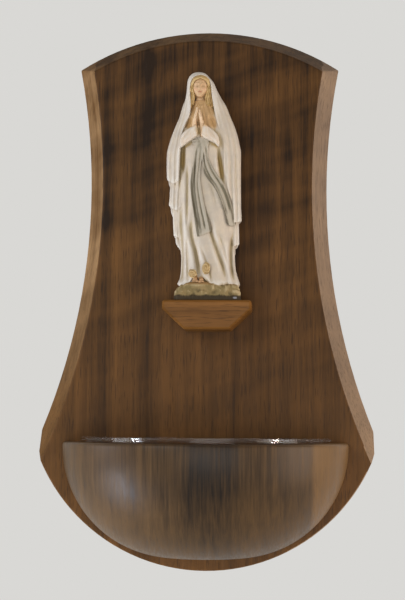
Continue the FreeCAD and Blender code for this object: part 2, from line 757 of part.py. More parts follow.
def make_statue():
    """Carved figure: lofted robe and veil, sleeves, folded hands and rock base, in one piece."""
    base = Part.makeBox(
        VALUE["base_width"],
        VALUE["base_depth"],
        VALUE["base_height"],
        FreeCAD.Vector(-VALUE["base_width"] / 2, -VALUE["base_depth"] / 2, 0),
    )
    upright = [edge for edge in base.Edges if abs(edge.Vertexes[0].Z - edge.Vertexes[1].Z) > 0.1]
    base = base.makeFillet(VALUE["base_corner"], upright)
    upper = [edge for edge in base.Edges if edge.BoundBox.ZMin > VALUE["base_height"] - 0.01]
    base = base.makeFillet(VALUE["base_round"], upper)

    figure = Part.makeLoft([level_section(section[0]) for section in SECTIONS], True, False)

    hands_x = -VALUE["hands_offset"]
    wrists = FreeCAD.Vector(hands_x, -VALUE["hands_front"], VALUE["hands_height"])
    tips = wrists + FreeCAD.Vector(0, 0, VALUE["hands_length"])
    pieces = [limb(wrists, tips, VALUE["hands_radius"], VALUE["fingers_radius"])]
    for side in (-1, 1):
        elbow = FreeCAD.Vector(
            hands_x + side * VALUE["sleeve_reach"],
            -VALUE["sleeve_front"],
            VALUE["sleeve_height"],
        )
        pieces.append(limb(elbow, wrists, VALUE["forearm_radius"], VALUE["cuff_radius"]))
    carving = base.fuse([figure] + pieces)
    socket = Part.makeCylinder(
        VALUE["pin_radius"] + VALUE["pilot_gap"],
        VALUE["pin_in_statue"] + VALUE["pin_end_gap"],
    )
    carving = carving.cut(socket)
    statue = DOC.addObject("Part::Feature", "statue")
    statue.Label = "statue"
    statue.Shape = carving.Solids[0]
    middle = VALUE["statue_stand_off"] + VALUE["base_depth"] / 2
    statue.Placement.Base = FreeCAD.Vector(
        VALUE["shelf_shift"],
        -VALUE["board_thickness"] - middle,
        VALUE["hanger_drop"] - VALUE["board_height"] + VALUE["shelf_rise"],
    )
    return statue


# ---------------------------------------------------------------- all pieces
def lowered(spots):
    return [(x, "%s + %s" % (z, LOWEST)) for x, z in spots]


PIECES = [
    make_backboard(),
    make_hanger_plate(),
    make_basin(),
    make_liner(),
    make_shelf(),
    make_pin(),
    make_statue(),
    screw_group("basin_screws", BIG_SCREW, lowered(BASIN_SCREWS), "sizes.head_sink"),
    screw_group("shelf_screws", SMALL_SCREW, lowered(SHELF_SCREWS), "sizes.head_sink"),
    screw_group("hanger_screws", PLATE_SCREW, lowered(PLATE_SCREWS), "0"),
]
DOC.recompute()

for thing in DOC.Objects:
    if "Invalid" in thing.State or "Error" in thing.State:
        raise RuntimeError("%s failed: %s" % (thing.Label, thing.State))
for piece in PIECES:
    if piece.Shape.isNull() or not piece.Shape.isValid():
        raise RuntimeError(piece.Label + " has no valid shape")

os.makedirs("parts", exist_ok=True)
for piece in PIECES:
    piece.Shape.exportStep("parts/%s.step" % piece.Label)
    box = piece.Shape.BoundBox
    print(
        "%-14s %2d solids %10.1f mm3  x %7.2f %7.2f  y %7.2f %7.2f  z %8.2f %8.2f"
        % (piece.Label, len(piece.Shape.Solids), piece.Shape.Volume,
           box.XMin, box.XMax, box.YMin, box.YMax, box.ZMin, box.ZMax)
    )
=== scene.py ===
# %% [markdown]
# # A wall-hung holy water stoup
# The stoup is a shaped walnut board with a half-turned basin, a clear liner for the water and a small
# shelf with a painted carving. The solids come finished from the CAD frame, so this lesson gives them
# soft edges, real finishes and a sculpted figure, and then lights them like a small studio.

# %% load the frame
import math

import bmesh
import bpy
import numpy as np
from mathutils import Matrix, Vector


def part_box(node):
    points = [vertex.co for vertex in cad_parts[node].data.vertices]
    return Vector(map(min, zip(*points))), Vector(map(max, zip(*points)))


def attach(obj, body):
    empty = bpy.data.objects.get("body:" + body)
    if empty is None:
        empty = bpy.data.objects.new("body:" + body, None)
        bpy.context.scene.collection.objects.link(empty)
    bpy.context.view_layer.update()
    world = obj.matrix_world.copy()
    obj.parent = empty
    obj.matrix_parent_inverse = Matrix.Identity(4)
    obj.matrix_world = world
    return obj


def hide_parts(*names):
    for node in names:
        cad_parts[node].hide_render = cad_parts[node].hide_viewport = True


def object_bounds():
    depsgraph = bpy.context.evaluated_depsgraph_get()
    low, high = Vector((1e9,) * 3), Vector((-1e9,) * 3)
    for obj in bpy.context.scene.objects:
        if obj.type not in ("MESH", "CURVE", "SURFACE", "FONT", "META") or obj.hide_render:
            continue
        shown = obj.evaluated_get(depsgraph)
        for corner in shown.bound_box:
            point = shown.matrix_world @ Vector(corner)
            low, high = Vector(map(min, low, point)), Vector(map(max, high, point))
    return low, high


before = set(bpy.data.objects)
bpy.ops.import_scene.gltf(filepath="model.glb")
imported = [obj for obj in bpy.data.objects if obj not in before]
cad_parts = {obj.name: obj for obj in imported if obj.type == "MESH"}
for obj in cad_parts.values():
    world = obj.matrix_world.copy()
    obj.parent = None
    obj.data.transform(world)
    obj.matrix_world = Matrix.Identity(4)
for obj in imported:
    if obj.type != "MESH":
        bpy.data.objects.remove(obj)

import openvdb
from mathutils import Matrix, Vector

cad_low, cad_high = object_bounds()
MM = 0.001
QUARTER = math.pi / 2
print("frame box in mm:", [round(v / MM, 1) for v in (*cad_low, *cad_high)])

# %% [markdown]
# ## Colours and nodes
# Colours are written as a painter reads them, in sRGB hex, and turned to linear light once. A pattern's
# size is written in millimetres, as it is on the real thing. Every material and node group below is built
# with one function that adds a node, sets it up and links it.

# %% colours and nodes
NODE_FAMILIES = ("ShaderNode", "GeometryNode", "FunctionNode", "Node")


def linear(hex_colour):
    """An sRGB hex colour as linear RGBA."""
    parts = [int(hex_colour[i:i + 2], 16) / 255 for i in (1, 3, 5)]
    return (*[p / 12.92 if p <= 0.04045 else ((p + 0.055) / 1.055) ** 2.4 for p in parts], 1.0)


def to_the_metre(size):
    """How many marks of a size in millimetres go to the metre, which is the Scale of a noise."""
    return round(1 / (size * MM))


def add(tree, kind, inputs=None, stops=None, **settings):
    """Add a node. inputs maps a socket to a value or to what feeds it: a socket, a node by its first live
    output, or a list of these."""
    family = next(family for family in NODE_FAMILIES if hasattr(bpy.types, family + kind))
    made = tree.nodes.new(family + kind)
    for name, value in settings.items():
        setattr(made, name, value)
    for name, value in (inputs or {}).items():
        for feed in value if isinstance(value, list) else [value]:
            if isinstance(feed, bpy.types.Node):
                feed = next(socket for socket in feed.outputs if socket.enabled)
            if isinstance(feed, bpy.types.NodeSocket):
                tree.links.new(feed, made.inputs[name])
            else:
                made.inputs[name].default_value = feed
    if stops:
        ramp = made.color_ramp
        while len(ramp.elements) < len(stops):
            ramp.elements.new(1.0)
        for element, (place, colour) in zip(ramp.elements, stops):
            element.position = place
            element.color = colour
    return made


def bare(name):
    """A material without nodes, and its tree."""
    material = bpy.data.materials.new(name)
    material.use_nodes = True
    material.node_tree.nodes.clear()
    return material, material.node_tree


def surfaced(material, inputs):
    """End a material in one Principled shader."""
    tree = material.node_tree
    add(tree, "OutputMaterial", {"Surface": add(tree, "BsdfPrincipled", inputs)})
    print("%s: %d nodes" % (material.name, len(tree.nodes)))


# %% [markdown]
# ## Camera
# The stoup is seen from a little to its right and from just above the basin, at arm's length. A long
# lens keeps the perspective mild. The camera is placed in the stoup's own frame and aimed at one
# point of the wall, with a slight roll, and no lens shift is needed.

# %% the camera
PICTURE_HEIGHT = 600
WALL_SCALE = 0.4479 * MM           # metres of wall per pixel of the picture
CAMERA_PLACE = Vector((0.0336, -0.900, -0.1266))
CAMERA_AIM = Vector((-0.0025, 0.0, -0.0757))
CAMERA_ROLL = math.radians(0.394)

distance = (CAMERA_PLACE - CAMERA_AIM).length
camera_data = bpy.data.cameras.new("studio_camera")
camera_data.sensor_width = 36
camera_data.lens = 18 / (PICTURE_HEIGHT / 2 * WALL_SCALE / distance)
camera = bpy.data.objects.new("studio_camera", camera_data)
bpy.context.scene.collection.objects.link(camera)
aim = (CAMERA_AIM - CAMERA_PLACE).to_track_quat("-Z", "Y").to_matrix().to_4x4()
camera.matrix_world = Matrix.Translation(CAMERA_PLACE) @ aim @ Matrix.Rotation(CAMERA_ROLL, 4, "Z")
bpy.context.scene.camera = camera
print("lens %.1f mm at %.0f mm" % (camera_data.lens, distance / MM))

# %% [markdown]
# ## Floor, background and lamps
# A pale floor well below the stoup catches its shadow, and away from the stoup it fades into the
# background, so that no horizon shows. The background is a plain pale grey, given to camera, glossy and
# transmitted rays alone: it shows in the varnish and in the clear liner and lights nothing. A soft box high
# on the left is the key, and a wide one low in front fills the shadows. Two more stand at the sides, close
# to the wall plane, as a window and a pale wall would: they light the bevels and give the turned belly its
# sheen. A small one low on the left lifts the underside of the bowl.

# %% the stage
BACKGROUND = "#d9d8d5"
FLOOR_DROP = 0.36
FLOOR_SIZE = 8.0
FLOOR_GRAIN = 1.111                # mm between the fine dents of the floor
FLOOR_NEAR = 0.12                  # up to here the floor has FLOOR_PLAIN of plain background in it
FLOOR_FAR = 0.55                   # from here on it is plain background
FLOOR_PLAIN = 0.45

scene = bpy.context.scene
scene.view_settings.view_transform = "Standard"


def seen_directly(tree):
    """1 for camera, glossy and transmitted rays, 0 for rays that light something."""
    rays = add(tree, "LightPath").outputs
    seen = add(tree, "Math", {0: rays["Is Camera Ray"], 1: rays["Is Glossy Ray"]}, operation="MAXIMUM")
    return add(tree, "Math", {0: seen, 1: rays["Is Transmission Ray"]}, operation="MAXIMUM")


world = bpy.data.worlds.new("studio_world")
world.use_nodes = True
scene.world = world
tree = world.node_tree
tree.nodes.clear()
soft = add(tree, "Background", {"Color": linear("#fbfaf8"), "Strength": 0.28})
shown = add(tree, "Background", {"Color": linear(BACKGROUND), "Strength": 1.0})
both = add(tree, "MixShader", {0: seen_directly(tree), 1: soft, 2: shown})
add(tree, "OutputWorld", {"Surface": both})

floor_paint, tree = bare("Matt_studio_floor")
spot = add(tree, "TexCoord").outputs["Object"]
grain = add(tree, "TexNoise", {"Vector": spot, "Scale": to_the_metre(FLOOR_GRAIN), "Detail": 2.0})
dents = add(tree, "Bump", {"Height": grain, "Distance": 0.2 * MM, "Strength": 0.2})
matt = add(tree, "BsdfPrincipled", {"Base Color": linear("#f2f1ee"), "Roughness": 0.9, "Normal": dents})
flat = add(tree, "VectorMath", {0: spot, 1: (1.0, 1.0, 0.0)}, operation="MULTIPLY")
away = add(tree, "VectorMath", {0: flat}, operation="LENGTH")
fade = add(tree, "MapRange", {0: away, 1: FLOOR_NEAR, 2: FLOOR_FAR, 3: FLOOR_PLAIN, 4: 1.0},
           interpolation_type="SMOOTHSTEP")
amount = add(tree, "Math", {0: fade, 1: seen_directly(tree)}, operation="MULTIPLY")
glow = add(tree, "Emission", {"Color": linear(BACKGROUND), "Strength": 1.0})
add(tree, "OutputMaterial", {"Surface": add(tree, "MixShader", {0: amount, 1: matt, 2: glow})})

half = FLOOR_SIZE / 2
level = cad_low.z - FLOOR_DROP
floor_mesh = bpy.data.meshes.new("studio_floor")
floor_mesh.from_pydata([(x, y, level) for x, y in ((-half, -half), (half, -half), (half, half), (-half, half))],
                       [], [(0, 1, 2, 3)])
floor_mesh.materials.append(floor_paint)
floor = bpy.data.objects.new("studio_floor", floor_mesh)
scene.collection.objects.link(floor)

SOFT_BOXES = [
    # name, place, width, height, watts, colour
    ("key_box", (-0.55, -0.90, 0.24), 0.50, 0.50, 3.7, "#fdfcfb"),
    ("front_box", (0.14, -1.10, -0.30), 0.80, 0.40, 3.2, "#ffffff"),
    ("left_box", (-0.90, -0.16, -0.04), 0.28, 0.34, 2.0, "#f0f3ff"),
    ("low_box", (-0.50, -0.14, -0.45), 0.14, 0.22, 1.75, "#e8efff"),
    ("right_box", (0.85, -0.22, -0.14), 0.50, 0.70, 4.9, "#fff0e6"),
]
LAMP_TARGET = Vector((0, -0.02, -0.08))
for name, place, width, height, watts, colour in SOFT_BOXES:
    lamp_data = bpy.data.lights.new(name, "AREA")
    lamp_data.shape = "RECTANGLE"
    lamp_data.size = width
    lamp_data.size_y = height
    lamp_data.energy = watts
    lamp_data.color = linear(colour)[:3]
    lamp = bpy.data.objects.new(name, lamp_data)
    scene.collection.objects.link(lamp)
    lamp.location = place
    lamp.rotation_mode = "QUATERNION"
    lamp.rotation_quaternion = (LAMP_TARGET - Vector(place)).to_track_quat("-Z", "Y")
print("stage: floor at %.0f mm, %d soft boxes" % (level / MM, len(SOFT_BOXES)))

# %% [markdown]
# ## Soft edges
# A joiner breaks every sharp arris with a stroke of fine paper, and that thin round edge is what
# catches the light. The CAD mesh is left alone. A copy of it is merged, its flat faces are joined up,
# and a Bevel modifier rounds the edges that a hand can reach: those that turn sharply and belong to
# the outside, not to a screw hole. A Weighted Normal modifier then keeps the wide faces flat.

# %% softened copies of CAD pieces
FLAT_MERGE = math.radians(0.4)     # faces that turn less than this are one face
SIDE_TURN = 0.45                   # faces that look this much sideways are marked as sawn sides
END_SAWN = 0.4                     # the faces round the top and the bottom carry this much of the mark
FLAT_FRONT = 0.985                 # faces that look this much forwards or back are the front or the back


def plain_mesh(made):
    """Turn an object's evaluated result into its plain mesh, and remove its modifiers."""
    graph = bpy.context.evaluated_depsgraph_get()
    graph.update()
    mesh = bpy.data.meshes.new_from_object(made.evaluated_get(graph))
    made.modifiers.clear()
    made.data = mesh


def place_in_frame(made, body, node):
    """Hang a finished piece on its body and hide the CAD piece that it replaces."""
    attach(made, body)
    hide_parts(node)


def outside_shell(shape):
    """The side faces that join up round the outside: all but the flat front and back and the holes."""
    start = max(shape.verts, key=lambda v: v.co.x)
    ring = {face for face in start.link_faces if abs(face.normal.y) < FLAT_FRONT}
    queue = list(ring)
    while queue:
        for edge in queue.pop().edges:
            for other in edge.link_faces:
                if other not in ring and abs(other.normal.y) < FLAT_FRONT:
                    ring.add(other)
                    queue.append(other)
    return ring


def softened(node, radius, material, body="stoup", angle=25, segments=3):
    """Replace a CAD piece with a copy of it whose outer edges are rounded."""
    shape = bmesh.new()
    shape.from_mesh(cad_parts[node].data)
    bmesh.ops.remove_doubles(shape, verts=shape.verts, dist=0.002 * MM)
    bmesh.ops.dissolve_limit(shape, angle_limit=FLAT_MERGE, verts=shape.verts, edges=shape.edges)
    shape.normal_update()
    sawn = shape.faces.layers.float.new("sawn")
    side = shape.faces.layers.float.new("side")
    weight = shape.edges.layers.float.new("bevel_weight_edge")
    ring = outside_shell(shape)
    for face in ring:
        face[sawn] = 1.0 if abs(face.normal.x) > SIDE_TURN else END_SAWN
        face[side] = 1.0
    chosen = 0
    for edge in shape.edges:
        sharp = len(edge.link_faces) == 2 and edge.calc_face_angle(0) > math.radians(angle)
        if sharp and any(face in ring for face in edge.link_faces):
            edge[weight] = 1.0
            chosen += 1
        edge.smooth = not (sharp and edge[weight] < 0.5)
    for face in shape.faces:
        face.smooth = True
    mesh = bpy.data.meshes.new(node + "_soft")
    shape.to_mesh(mesh)
    shape.free()
    piece = bpy.data.objects.new(node + "_dressed", mesh)
    scene.collection.objects.link(piece)
    bevel = piece.modifiers.new("arris", "BEVEL")
    bevel.width = radius
    bevel.segments = segments
    bevel.limit_method = "WEIGHT"
    bevel.use_clamp_overlap = True
    even = piece.modifiers.new("even", "WEIGHTED_NORMAL")
    even.keep_sharp = True
    even.weight = 80
    plain_mesh(piece)
    piece.data.materials.clear()
    piece.data.materials.append(material)
    place_in_frame(piece, body, node)
    print("%s: %d edges rounded by %.1f mm, %d faces" % (node, chosen, radius / MM, len(piece.data.polygons)))


# %% [markdown]
# ## Walnut
# Walnut that has been planed and given a thin satin oil shows five things at five sizes: broad
# streaks of darker heartwood across the plank, growth lines a few millimetres apart, a soft ripple
# where the grain swings, fine fibres, and short open pores about a quarter of a millimetre wide. The
# pores are drawn twice as wide, because finer ones would not show. The pattern is solid, so it runs on
# over edges and bevels as it does in a real board. The eye takes the low, brown sheen for oiled wood.

# %% the walnut finish
# sizes of the marks in mm, not measured on real wood
WANDER = 41.7                      # over which the grain wanders
PATCH = 45.5                       # from one patch of lustre to the next
RIPPLE = 11.8                      # across a ripple of swinging grain, before it is drawn out
GROWTH_LINE = 4.17
FINE_LINE = 1.613
FIBRE = 0.6667
PORE = 0.5263
PORE_COLOUR = "#24180f"
RIPPLE_TILT = math.radians(18)
RIPPLE_RISE = (-0.13, -0.02)       # heights between which the ripple grows to its full strength


def with_sapwood(tree, place, tone, body, colours):
    """The sawn sides are paler, partly as the plank's paler edge and partly as a painted sheen of the side
    light, least of all low on the left (-X), and greyer on the right (+X), where the grey is a painted
    reflection."""
    mark = add(tree, "Attribute", attribute_name="sawn").outputs["Fac"]
    least = add(tree, "MapRange", {0: place["X"], 1: -0.04, 2: 0.04, 3: 0.15, 4: 0.9})
    share = add(tree, "MapRange", {0: place["Z"], 1: -0.125, 2: -0.05, 3: least, 4: 1.0})
    share = add(tree, "Math", {0: share, 1: mark}, operation="MULTIPLY")
    pale = add(tree, "ValToRGB", {0: tone}, stops=[(0.0, linear(colours[0])), (1.0, linear(colours[1]))])
    painted_reflection_grey = add(tree, "MapRange", {0: place["X"], 1: -0.02, 2: 0.04, 3: 0.0, 4: 0.45})
    pale = add(tree, "Mix", {0: painted_reflection_grey, 6: pale, 7: linear(colours[2])}, data_type="RGBA")
    return add(tree, "Mix", {0: share, 6: body, 7: pale}, data_type="RGBA")


def walnut(name, plank, light, dark, lines, ripple, along="Z", gloss=0.42, shine=0.12, seed=0.0, pores=0.5,
           sapwood_and_sheen=None, depth=1.0, fall=(0.0, 1.0, 0.0, 0.0)):
    """plank lists (place across the piece in metres, tone from 0 dark to 1 light). sapwood is the dark and the
    light colour of the sawn sides, which show pale sapwood and a painted sheen of the side light, and the
    painted reflection grey they take on the right. depth below 1 draws the pattern out from front to back as
    well. fall is two heights in metres and what the tone gains at each."""
    material, tree = bare(name)
    spot = add(tree, "TexCoord").outputs["Object"]
    place = add(tree, "SeparateXYZ", {0: spot}).outputs
    wood = add(tree, "Mapping", {"Vector": spot, "Rotation": (0, QUARTER if along == "X" else 0, 0),
                                 "Location": (seed, seed, seed)})

    def grain(size, length, detail=2.0, space=wood, across=1.0):
        """A noise with marks of a size in mm, drawn out along the grain where length is below 1."""
        drawn = add(tree, "Mapping", {"Vector": space, "Scale": (1, across * depth, length)})
        return add(tree, "TexNoise", {"Vector": drawn, "Scale": to_the_metre(size), "Detail": detail})

    def mixed_in(pattern, share, tone):
        """The tone with a pattern added to it that is centred on zero first."""
        centred = add(tree, "Math", {0: pattern, 1: 0.5}, operation="SUBTRACT")
        return add(tree, "Math", {0: centred, 1: share, 2: tone}, operation="MULTIPLY_ADD")

    # a slow wander bends every line a little
    wander = grain(WANDER, 0.22).outputs["Color"]
    shift = add(tree, "VectorMath", {0: wander, 1: (0.5, 0.5, 0.5)}, operation="SUBTRACT")
    shift = add(tree, "VectorMath", {0: shift, "Scale": 9 * MM}, operation="SCALE")
    bent = add(tree, "VectorMath", {0: wood, 1: shift}, operation="ADD")

    # broad streaks across the plank
    apart = add(tree, "SeparateXYZ", {0: bent}).outputs
    low = plank[0][0]
    high = plank[-1][0]
    across = add(tree, "MapRange", {0: apart["X"], 1: low + seed, 2: high + seed})
    stops = [((x - low) / (high - low), (tone, tone, tone, 1)) for x, tone in plank]
    tone = add(tree, "ValToRGB", {0: across}, stops=stops)

    # growth lines and finer lines between them, long along the grain
    for size, share in ((GROWTH_LINE, lines), (FINE_LINE, lines * 0.8)):
        tone = mixed_in(grain(size, 0.018, space=bent, across=0.7), share * 2.2, tone)

    # the tone falls from the foot to the top, and patches of the plank take the light differently
    height = add(tree, "MapRange", {0: place["Z"], **dict(enumerate(fall, 1))})
    tone = add(tree, "Math", {0: height, 1: tone}, operation="ADD")
    tone = mixed_in(grain(PATCH, 0.5), ripple * 0.9, tone)

    # the ripple of swinging grain
    tilted = add(tree, "Mapping", {"Vector": bent, "Rotation": (0, -RIPPLE_TILT, 0),
                                   "Scale": (3.8, 3.3 / depth, 1.0)}, vector_type="TEXTURE")
    wave = add(tree, "TexNoise", {"Vector": tilted, "Scale": to_the_metre(RIPPLE), "Detail": 2.0,
                                  "Roughness": 0.45})
    swell = add(tree, "MapRange", {0: place["Z"], 1: RIPPLE_RISE[0], 2: RIPPLE_RISE[1], 3: ripple * 0.9,
                                   4: ripple * 2.5})
    tone = mixed_in(wave, swell, tone)

    # fibres and pores
    fibre = grain(FIBRE, 0.03, detail=3.0)
    tone = mixed_in(fibre, 0.5, tone)
    pore = add(tree, "MapRange", {0: grain(PORE, 0.07, detail=1.0), 1: 0.58, 2: 0.70, 3: 0.0, 4: pores})
    body = add(tree, "ValToRGB", {0: tone}, stops=[(0.0, linear(dark)), (1.0, linear(light))])
    if sapwood_and_sheen:
        body = with_sapwood(tree, place, tone, body, sapwood_and_sheen)
    colour = add(tree, "Mix", {0: pore, 6: body, 7: linear(PORE_COLOUR)}, data_type="RGBA")

    # the oil shines on the planed faces and has sunk into the sawn ones
    rough = add(tree, "MapRange", {0: fibre, 1: 0.3, 2: 0.7, 3: gloss - 0.05, 4: gloss + 0.10})
    side = add(tree, "Attribute", attribute_name="side").outputs["Fac"]
    sheen = add(tree, "MapRange", {0: side, 3: shine, 4: shine * 0.04})
    sunk = add(tree, "Math", {0: pore, 1: -1.2, 2: fibre}, operation="MULTIPLY_ADD")
    relief = add(tree, "Bump", {"Height": sunk, "Distance": 0.05 * MM, "Strength": 0.45})
    surfaced(material, {"Base Color": colour, "Roughness": rough, "Specular IOR Level": sheen,
                        "Normal": relief})
    return material


# %% [markdown]
# ## The board
# The board is one plank with its grain upright. Its darker streaks lie left of the middle, and the
# grain swings in a soft ripple towards the top.

# %% dress the board
board_wood = walnut(
    "Satin_walnut_upright",
    [(-0.074, 0.62), (-0.056, 0.60), (-0.049, 0.40), (-0.045, 0.32), (-0.041, 0.58), (-0.034, 0.54),
     (-0.0285, 0.29), (-0.0245, 0.34), (-0.019, 0.58), (0.008, 0.52), (0.0115, 0.36), (0.015, 0.44),
     (0.026, 0.50), (0.040, 0.50), (0.052, 0.44), (0.074, 0.66)],
    light="#6c4924", dark="#211305", lines=0.34, ripple=0.54, fall=(-0.195, 0.045, 0.27, -0.27),
    # the sawn sides: pale sapwood and painted sheen, with a painted reflection grey on the right
    sapwood_and_sheen=("#684b2d", "#ab8860", "#8f847a"),
)
softened("backboard", 0.7 * MM, board_wood)

# %% [markdown]
# ## Geometry Nodes for what follows a rule
# Two kinds of piece follow a rule: a turned bowl is one section led round an axis, and a screw is a
# turned blank with a helix round it, repeated where a hole is. Each rule is a node tree with its
# sizes as named inputs, so a different bowl or screw needs new numbers only. The result is stored as a
# plain mesh, because other programs don't know the tree.

# %% trees with named sizes
PATH_RADIUS = 5 * MM               # the section is led along this circle, and reaches in to its centre
CRISP = math.radians(35)           # edges that turn more than this are shaded sharp


def sized_tree(name, sizes):
    """A geometry node tree with a geometry input and a named input for each size. Returns the tree and
    the sockets by their names."""
    tree = bpy.data.node_groups.new(name, "GeometryNodeTree")
    for in_out in ("INPUT", "OUTPUT"):
        tree.interface.new_socket("Geometry", in_out=in_out, socket_type="NodeSocketGeometry")
    for label, value in sizes.items():
        tree.interface.new_socket(label, in_out="INPUT", socket_type="NodeSocketFloat").default_value = value
    return tree, add(tree, "GroupInput").outputs


def section_spot(tree, reach, depth):
    """A spot of a section: reach from the axis and depth under the top, as the sweep wants them."""
    inwards = add(tree, "Math", {0: reach, 1: PATH_RADIUS}, operation="SUBTRACT")
    return add(tree, "CombineXYZ", {0: inwards, 1: depth})


def through_spots(tree, spots):
    """A line through the spots, in their order."""
    choose = add(tree, "IndexSwitch", data_type="VECTOR")
    while len(choose.index_switch_items) < len(spots):
        choose.index_switch_items.new()
    tree.links.new(add(tree, "InputIndex").outputs[0], choose.inputs["Index"])
    for number, spot in enumerate(spots):
        tree.links.new(spot.outputs[0], choose.inputs[str(number)])
    points = add(tree, "Points", {"Count": len(spots), "Position": choose})
    return add(tree, "PointsToCurves", {0: points})


def swept(tree, section, path):
    """The section led along a path round the Z axis, with closed ends and its spots on the axis merged."""
    outwards = add(tree, "VectorMath", {0: add(tree, "InputPosition")}, operation="NORMALIZE")
    upright = add(tree, "SetCurveNormal", {"Curve": path, "Normal": outwards}, mode="FREE")
    solid = add(tree, "CurveToMesh", {"Curve": upright, "Profile Curve": section, "Fill Caps": True})
    return add(tree, "MergeByDistance", {"Geometry": solid, "Distance": 0.002 * MM})


def with_material(tree, geometry, material):
    """The end of every tree: real geometry with its material."""
    real = add(tree, "RealizeInstances", {0: geometry})
    add(tree, "GroupOutput", {0: add(tree, "SetMaterial", {"Geometry": real, "Material": material})})


def grown(node, tree, spots, sizes, crisp=CRISP):
    """Run a tree on a few spots and keep the result as a plain mesh that replaces a CAD piece."""
    name = node + "_dressed"
    seeds = bpy.data.meshes.new(name + "_spots")
    seeds.from_pydata([Vector(spot) * MM for spot in spots], [], [])
    made = bpy.data.objects.new(name, seeds)
    scene.collection.objects.link(made)
    rule = made.modifiers.new(tree.name, "NODES")
    rule.node_group = tree
    for item in tree.interface.items_tree:
        if item.in_out == "INPUT" and item.name in sizes:
            rule[item.identifier] = sizes[item.name]
    plain_mesh(made)
    shape = bmesh.new()
    shape.from_mesh(made.data)
    bmesh.ops.dissolve_degenerate(shape, dist=0.0001 * MM, edges=shape.edges)
    bmesh.ops.delete(shape, geom=[e for e in shape.edges if not e.link_faces], context="EDGES")
    bmesh.ops.recalc_face_normals(shape, faces=shape.faces)
    for edge in shape.edges:
        edge.smooth = edge.calc_face_angle(0) < crisp
    for face in shape.faces:
        face.smooth = True
    open_edges = sum(not edge.is_manifold for edge in shape.edges)
    shape.to_mesh(made.data)
    shape.free()
    place_in_frame(made, "stoup", node)
    print("%s: %d faces, %d open edges" % (name, len(made.data.polygons), open_edges))


# %% [markdown]
# ## The basin
# The bowl was turned with its grain upright and sawn in half, so streaks run down its belly: a dark
# one in the middle and pale sapwood at its right side. Its section has a quarter circle for the
# belly, a small round at the rim, a broken arris inside, and a hollow for the liner with a round
# floor. It is led through half a turn, and the holes for the screws are bored from the flat back.

# %% turn the basin
basin_wood = walnut(
    "Satin_walnut_turned",
    [(-0.064, 0.45), (-0.040, 0.42), (-0.026, 0.34), (-0.018, 0.24), (-0.010, 0.22), (-0.004, 0.10),
     (0.004, 0.04), (0.012, 0.10), (0.018, 0.24), (0.030, 0.26), (0.040, 0.34), (0.0445, 0.44),
     (0.047, 0.88), (0.064, 1.0)],
    light="#72542f", dark="#1b1107", gloss=0.40, shine=0.24, seed=0.4, lines=0.22, ripple=0.24, pores=0.2,
    # fall lightens the foot of the belly: painted light, as light from below would give
    depth=0.12, fall=(-0.189, -0.160, 0.36, 0.0),
)
BOWL = {
    "Rim Radius": 62.4 * MM, "Height": 50 * MM, "Rim Round": 1.5 * MM, "Hollow Radius": 46.8 * MM,
    "Hollow Depth": 31 * MM, "Hollow Corner": 12 * MM, "Inner Arris": 0.4 * MM,
    "Hole Radius": 2.05 * MM, "Hole Depth": 18.0 * MM,
}
BOARD_FRONT = -18.0                # mm
RIM_HEIGHT = -139.0                # mm
BASIN_SCREWS = [(-54.0, -150.0), (54.0, -150.0), (0.0, -180.0)]

tree, size = sized_tree("turned_half_bowl", BOWL)
belly = add(tree, "Math", {0: size["Height"], 1: size["Rim Round"]}, operation="SUBTRACT")
belly_middle = add(tree, "Math", {0: size["Rim Radius"], 1: belly}, operation="SUBTRACT")
rim_middle = add(tree, "Math", {0: size["Rim Radius"], 1: size["Rim Round"]}, operation="SUBTRACT")
arris_middle = add(tree, "Math", {0: size["Hollow Radius"], 1: size["Inner Arris"]}, operation="ADD")
corner_middle = [add(tree, "Math", {0: size[label], 1: size["Hollow Corner"]}, operation="SUBTRACT")
                 for label in ("Hollow Radius", "Hollow Depth")]
rounds = [
    # centre's reach, centre's depth, radius, start angle, sweep, steps
    (belly_middle, size["Rim Round"], belly, QUARTER, -QUARTER, 56),
    (rim_middle, size["Rim Round"], size["Rim Round"], 0.0, -QUARTER, 7),
    (arris_middle, size["Inner Arris"], size["Inner Arris"], -QUARTER, -QUARTER, 5),
    (*corner_middle, size["Hollow Corner"], 0.0, QUARTER, 14),
]
spots = []
for reach, depth, radius, start, sweep, steps in rounds:
    for step in range(steps):
        angle = start + sweep * step / (steps - 1)
        spots.append(section_spot(tree, *[
            add(tree, "Math", {0: radius, 1: share, 2: centre}, operation="MULTIPLY_ADD")
            for share, centre in ((math.cos(angle), reach), (math.sin(angle), depth))]))
spots += [section_spot(tree, 0.0, size[label]) for label in ("Hollow Depth", "Height")]
section = add(tree, "SetSplineCyclic", {0: through_spots(tree, spots), "Cyclic": True})
half_turn = add(tree, "CurveArc", {"Resolution": 121, "Radius": PATH_RADIUS, "Start Angle": math.pi,
                                   "Sweep Angle": math.pi}, mode="RADIUS")
placed = add(tree, "Transform", {"Geometry": swept(tree, section, half_turn),
                                 "Translation": (0, BOARD_FRONT * MM, RIM_HEIGHT * MM)})
both_ways = add(tree, "Math", {0: size["Hole Depth"], 1: 2.0}, operation="MULTIPLY")
drill = add(tree, "MeshCylinder", {"Vertices": 24, "Radius": size["Hole Radius"], "Depth": both_ways})
drills = add(tree, "InstanceOnPoints", {"Points": size["Geometry"], "Instance": drill,
                                        "Rotation": (QUARTER, 0, 0)})
bored = add(tree, "MeshBoolean", {"Mesh 1": placed, "Mesh 2": add(tree, "RealizeInstances", {0: drills})},
            operation="DIFFERENCE", solver="EXACT")
with_material(tree, bored, basin_wood)
grown("basin", tree, [(x, BOARD_FRONT, z) for x, z in BASIN_SCREWS], BOWL)

# %% [markdown]
# ## The shelf
# A small block of lighter walnut with the grain across, so that no end grain shows in front. Its edges
# are eased like the board's.

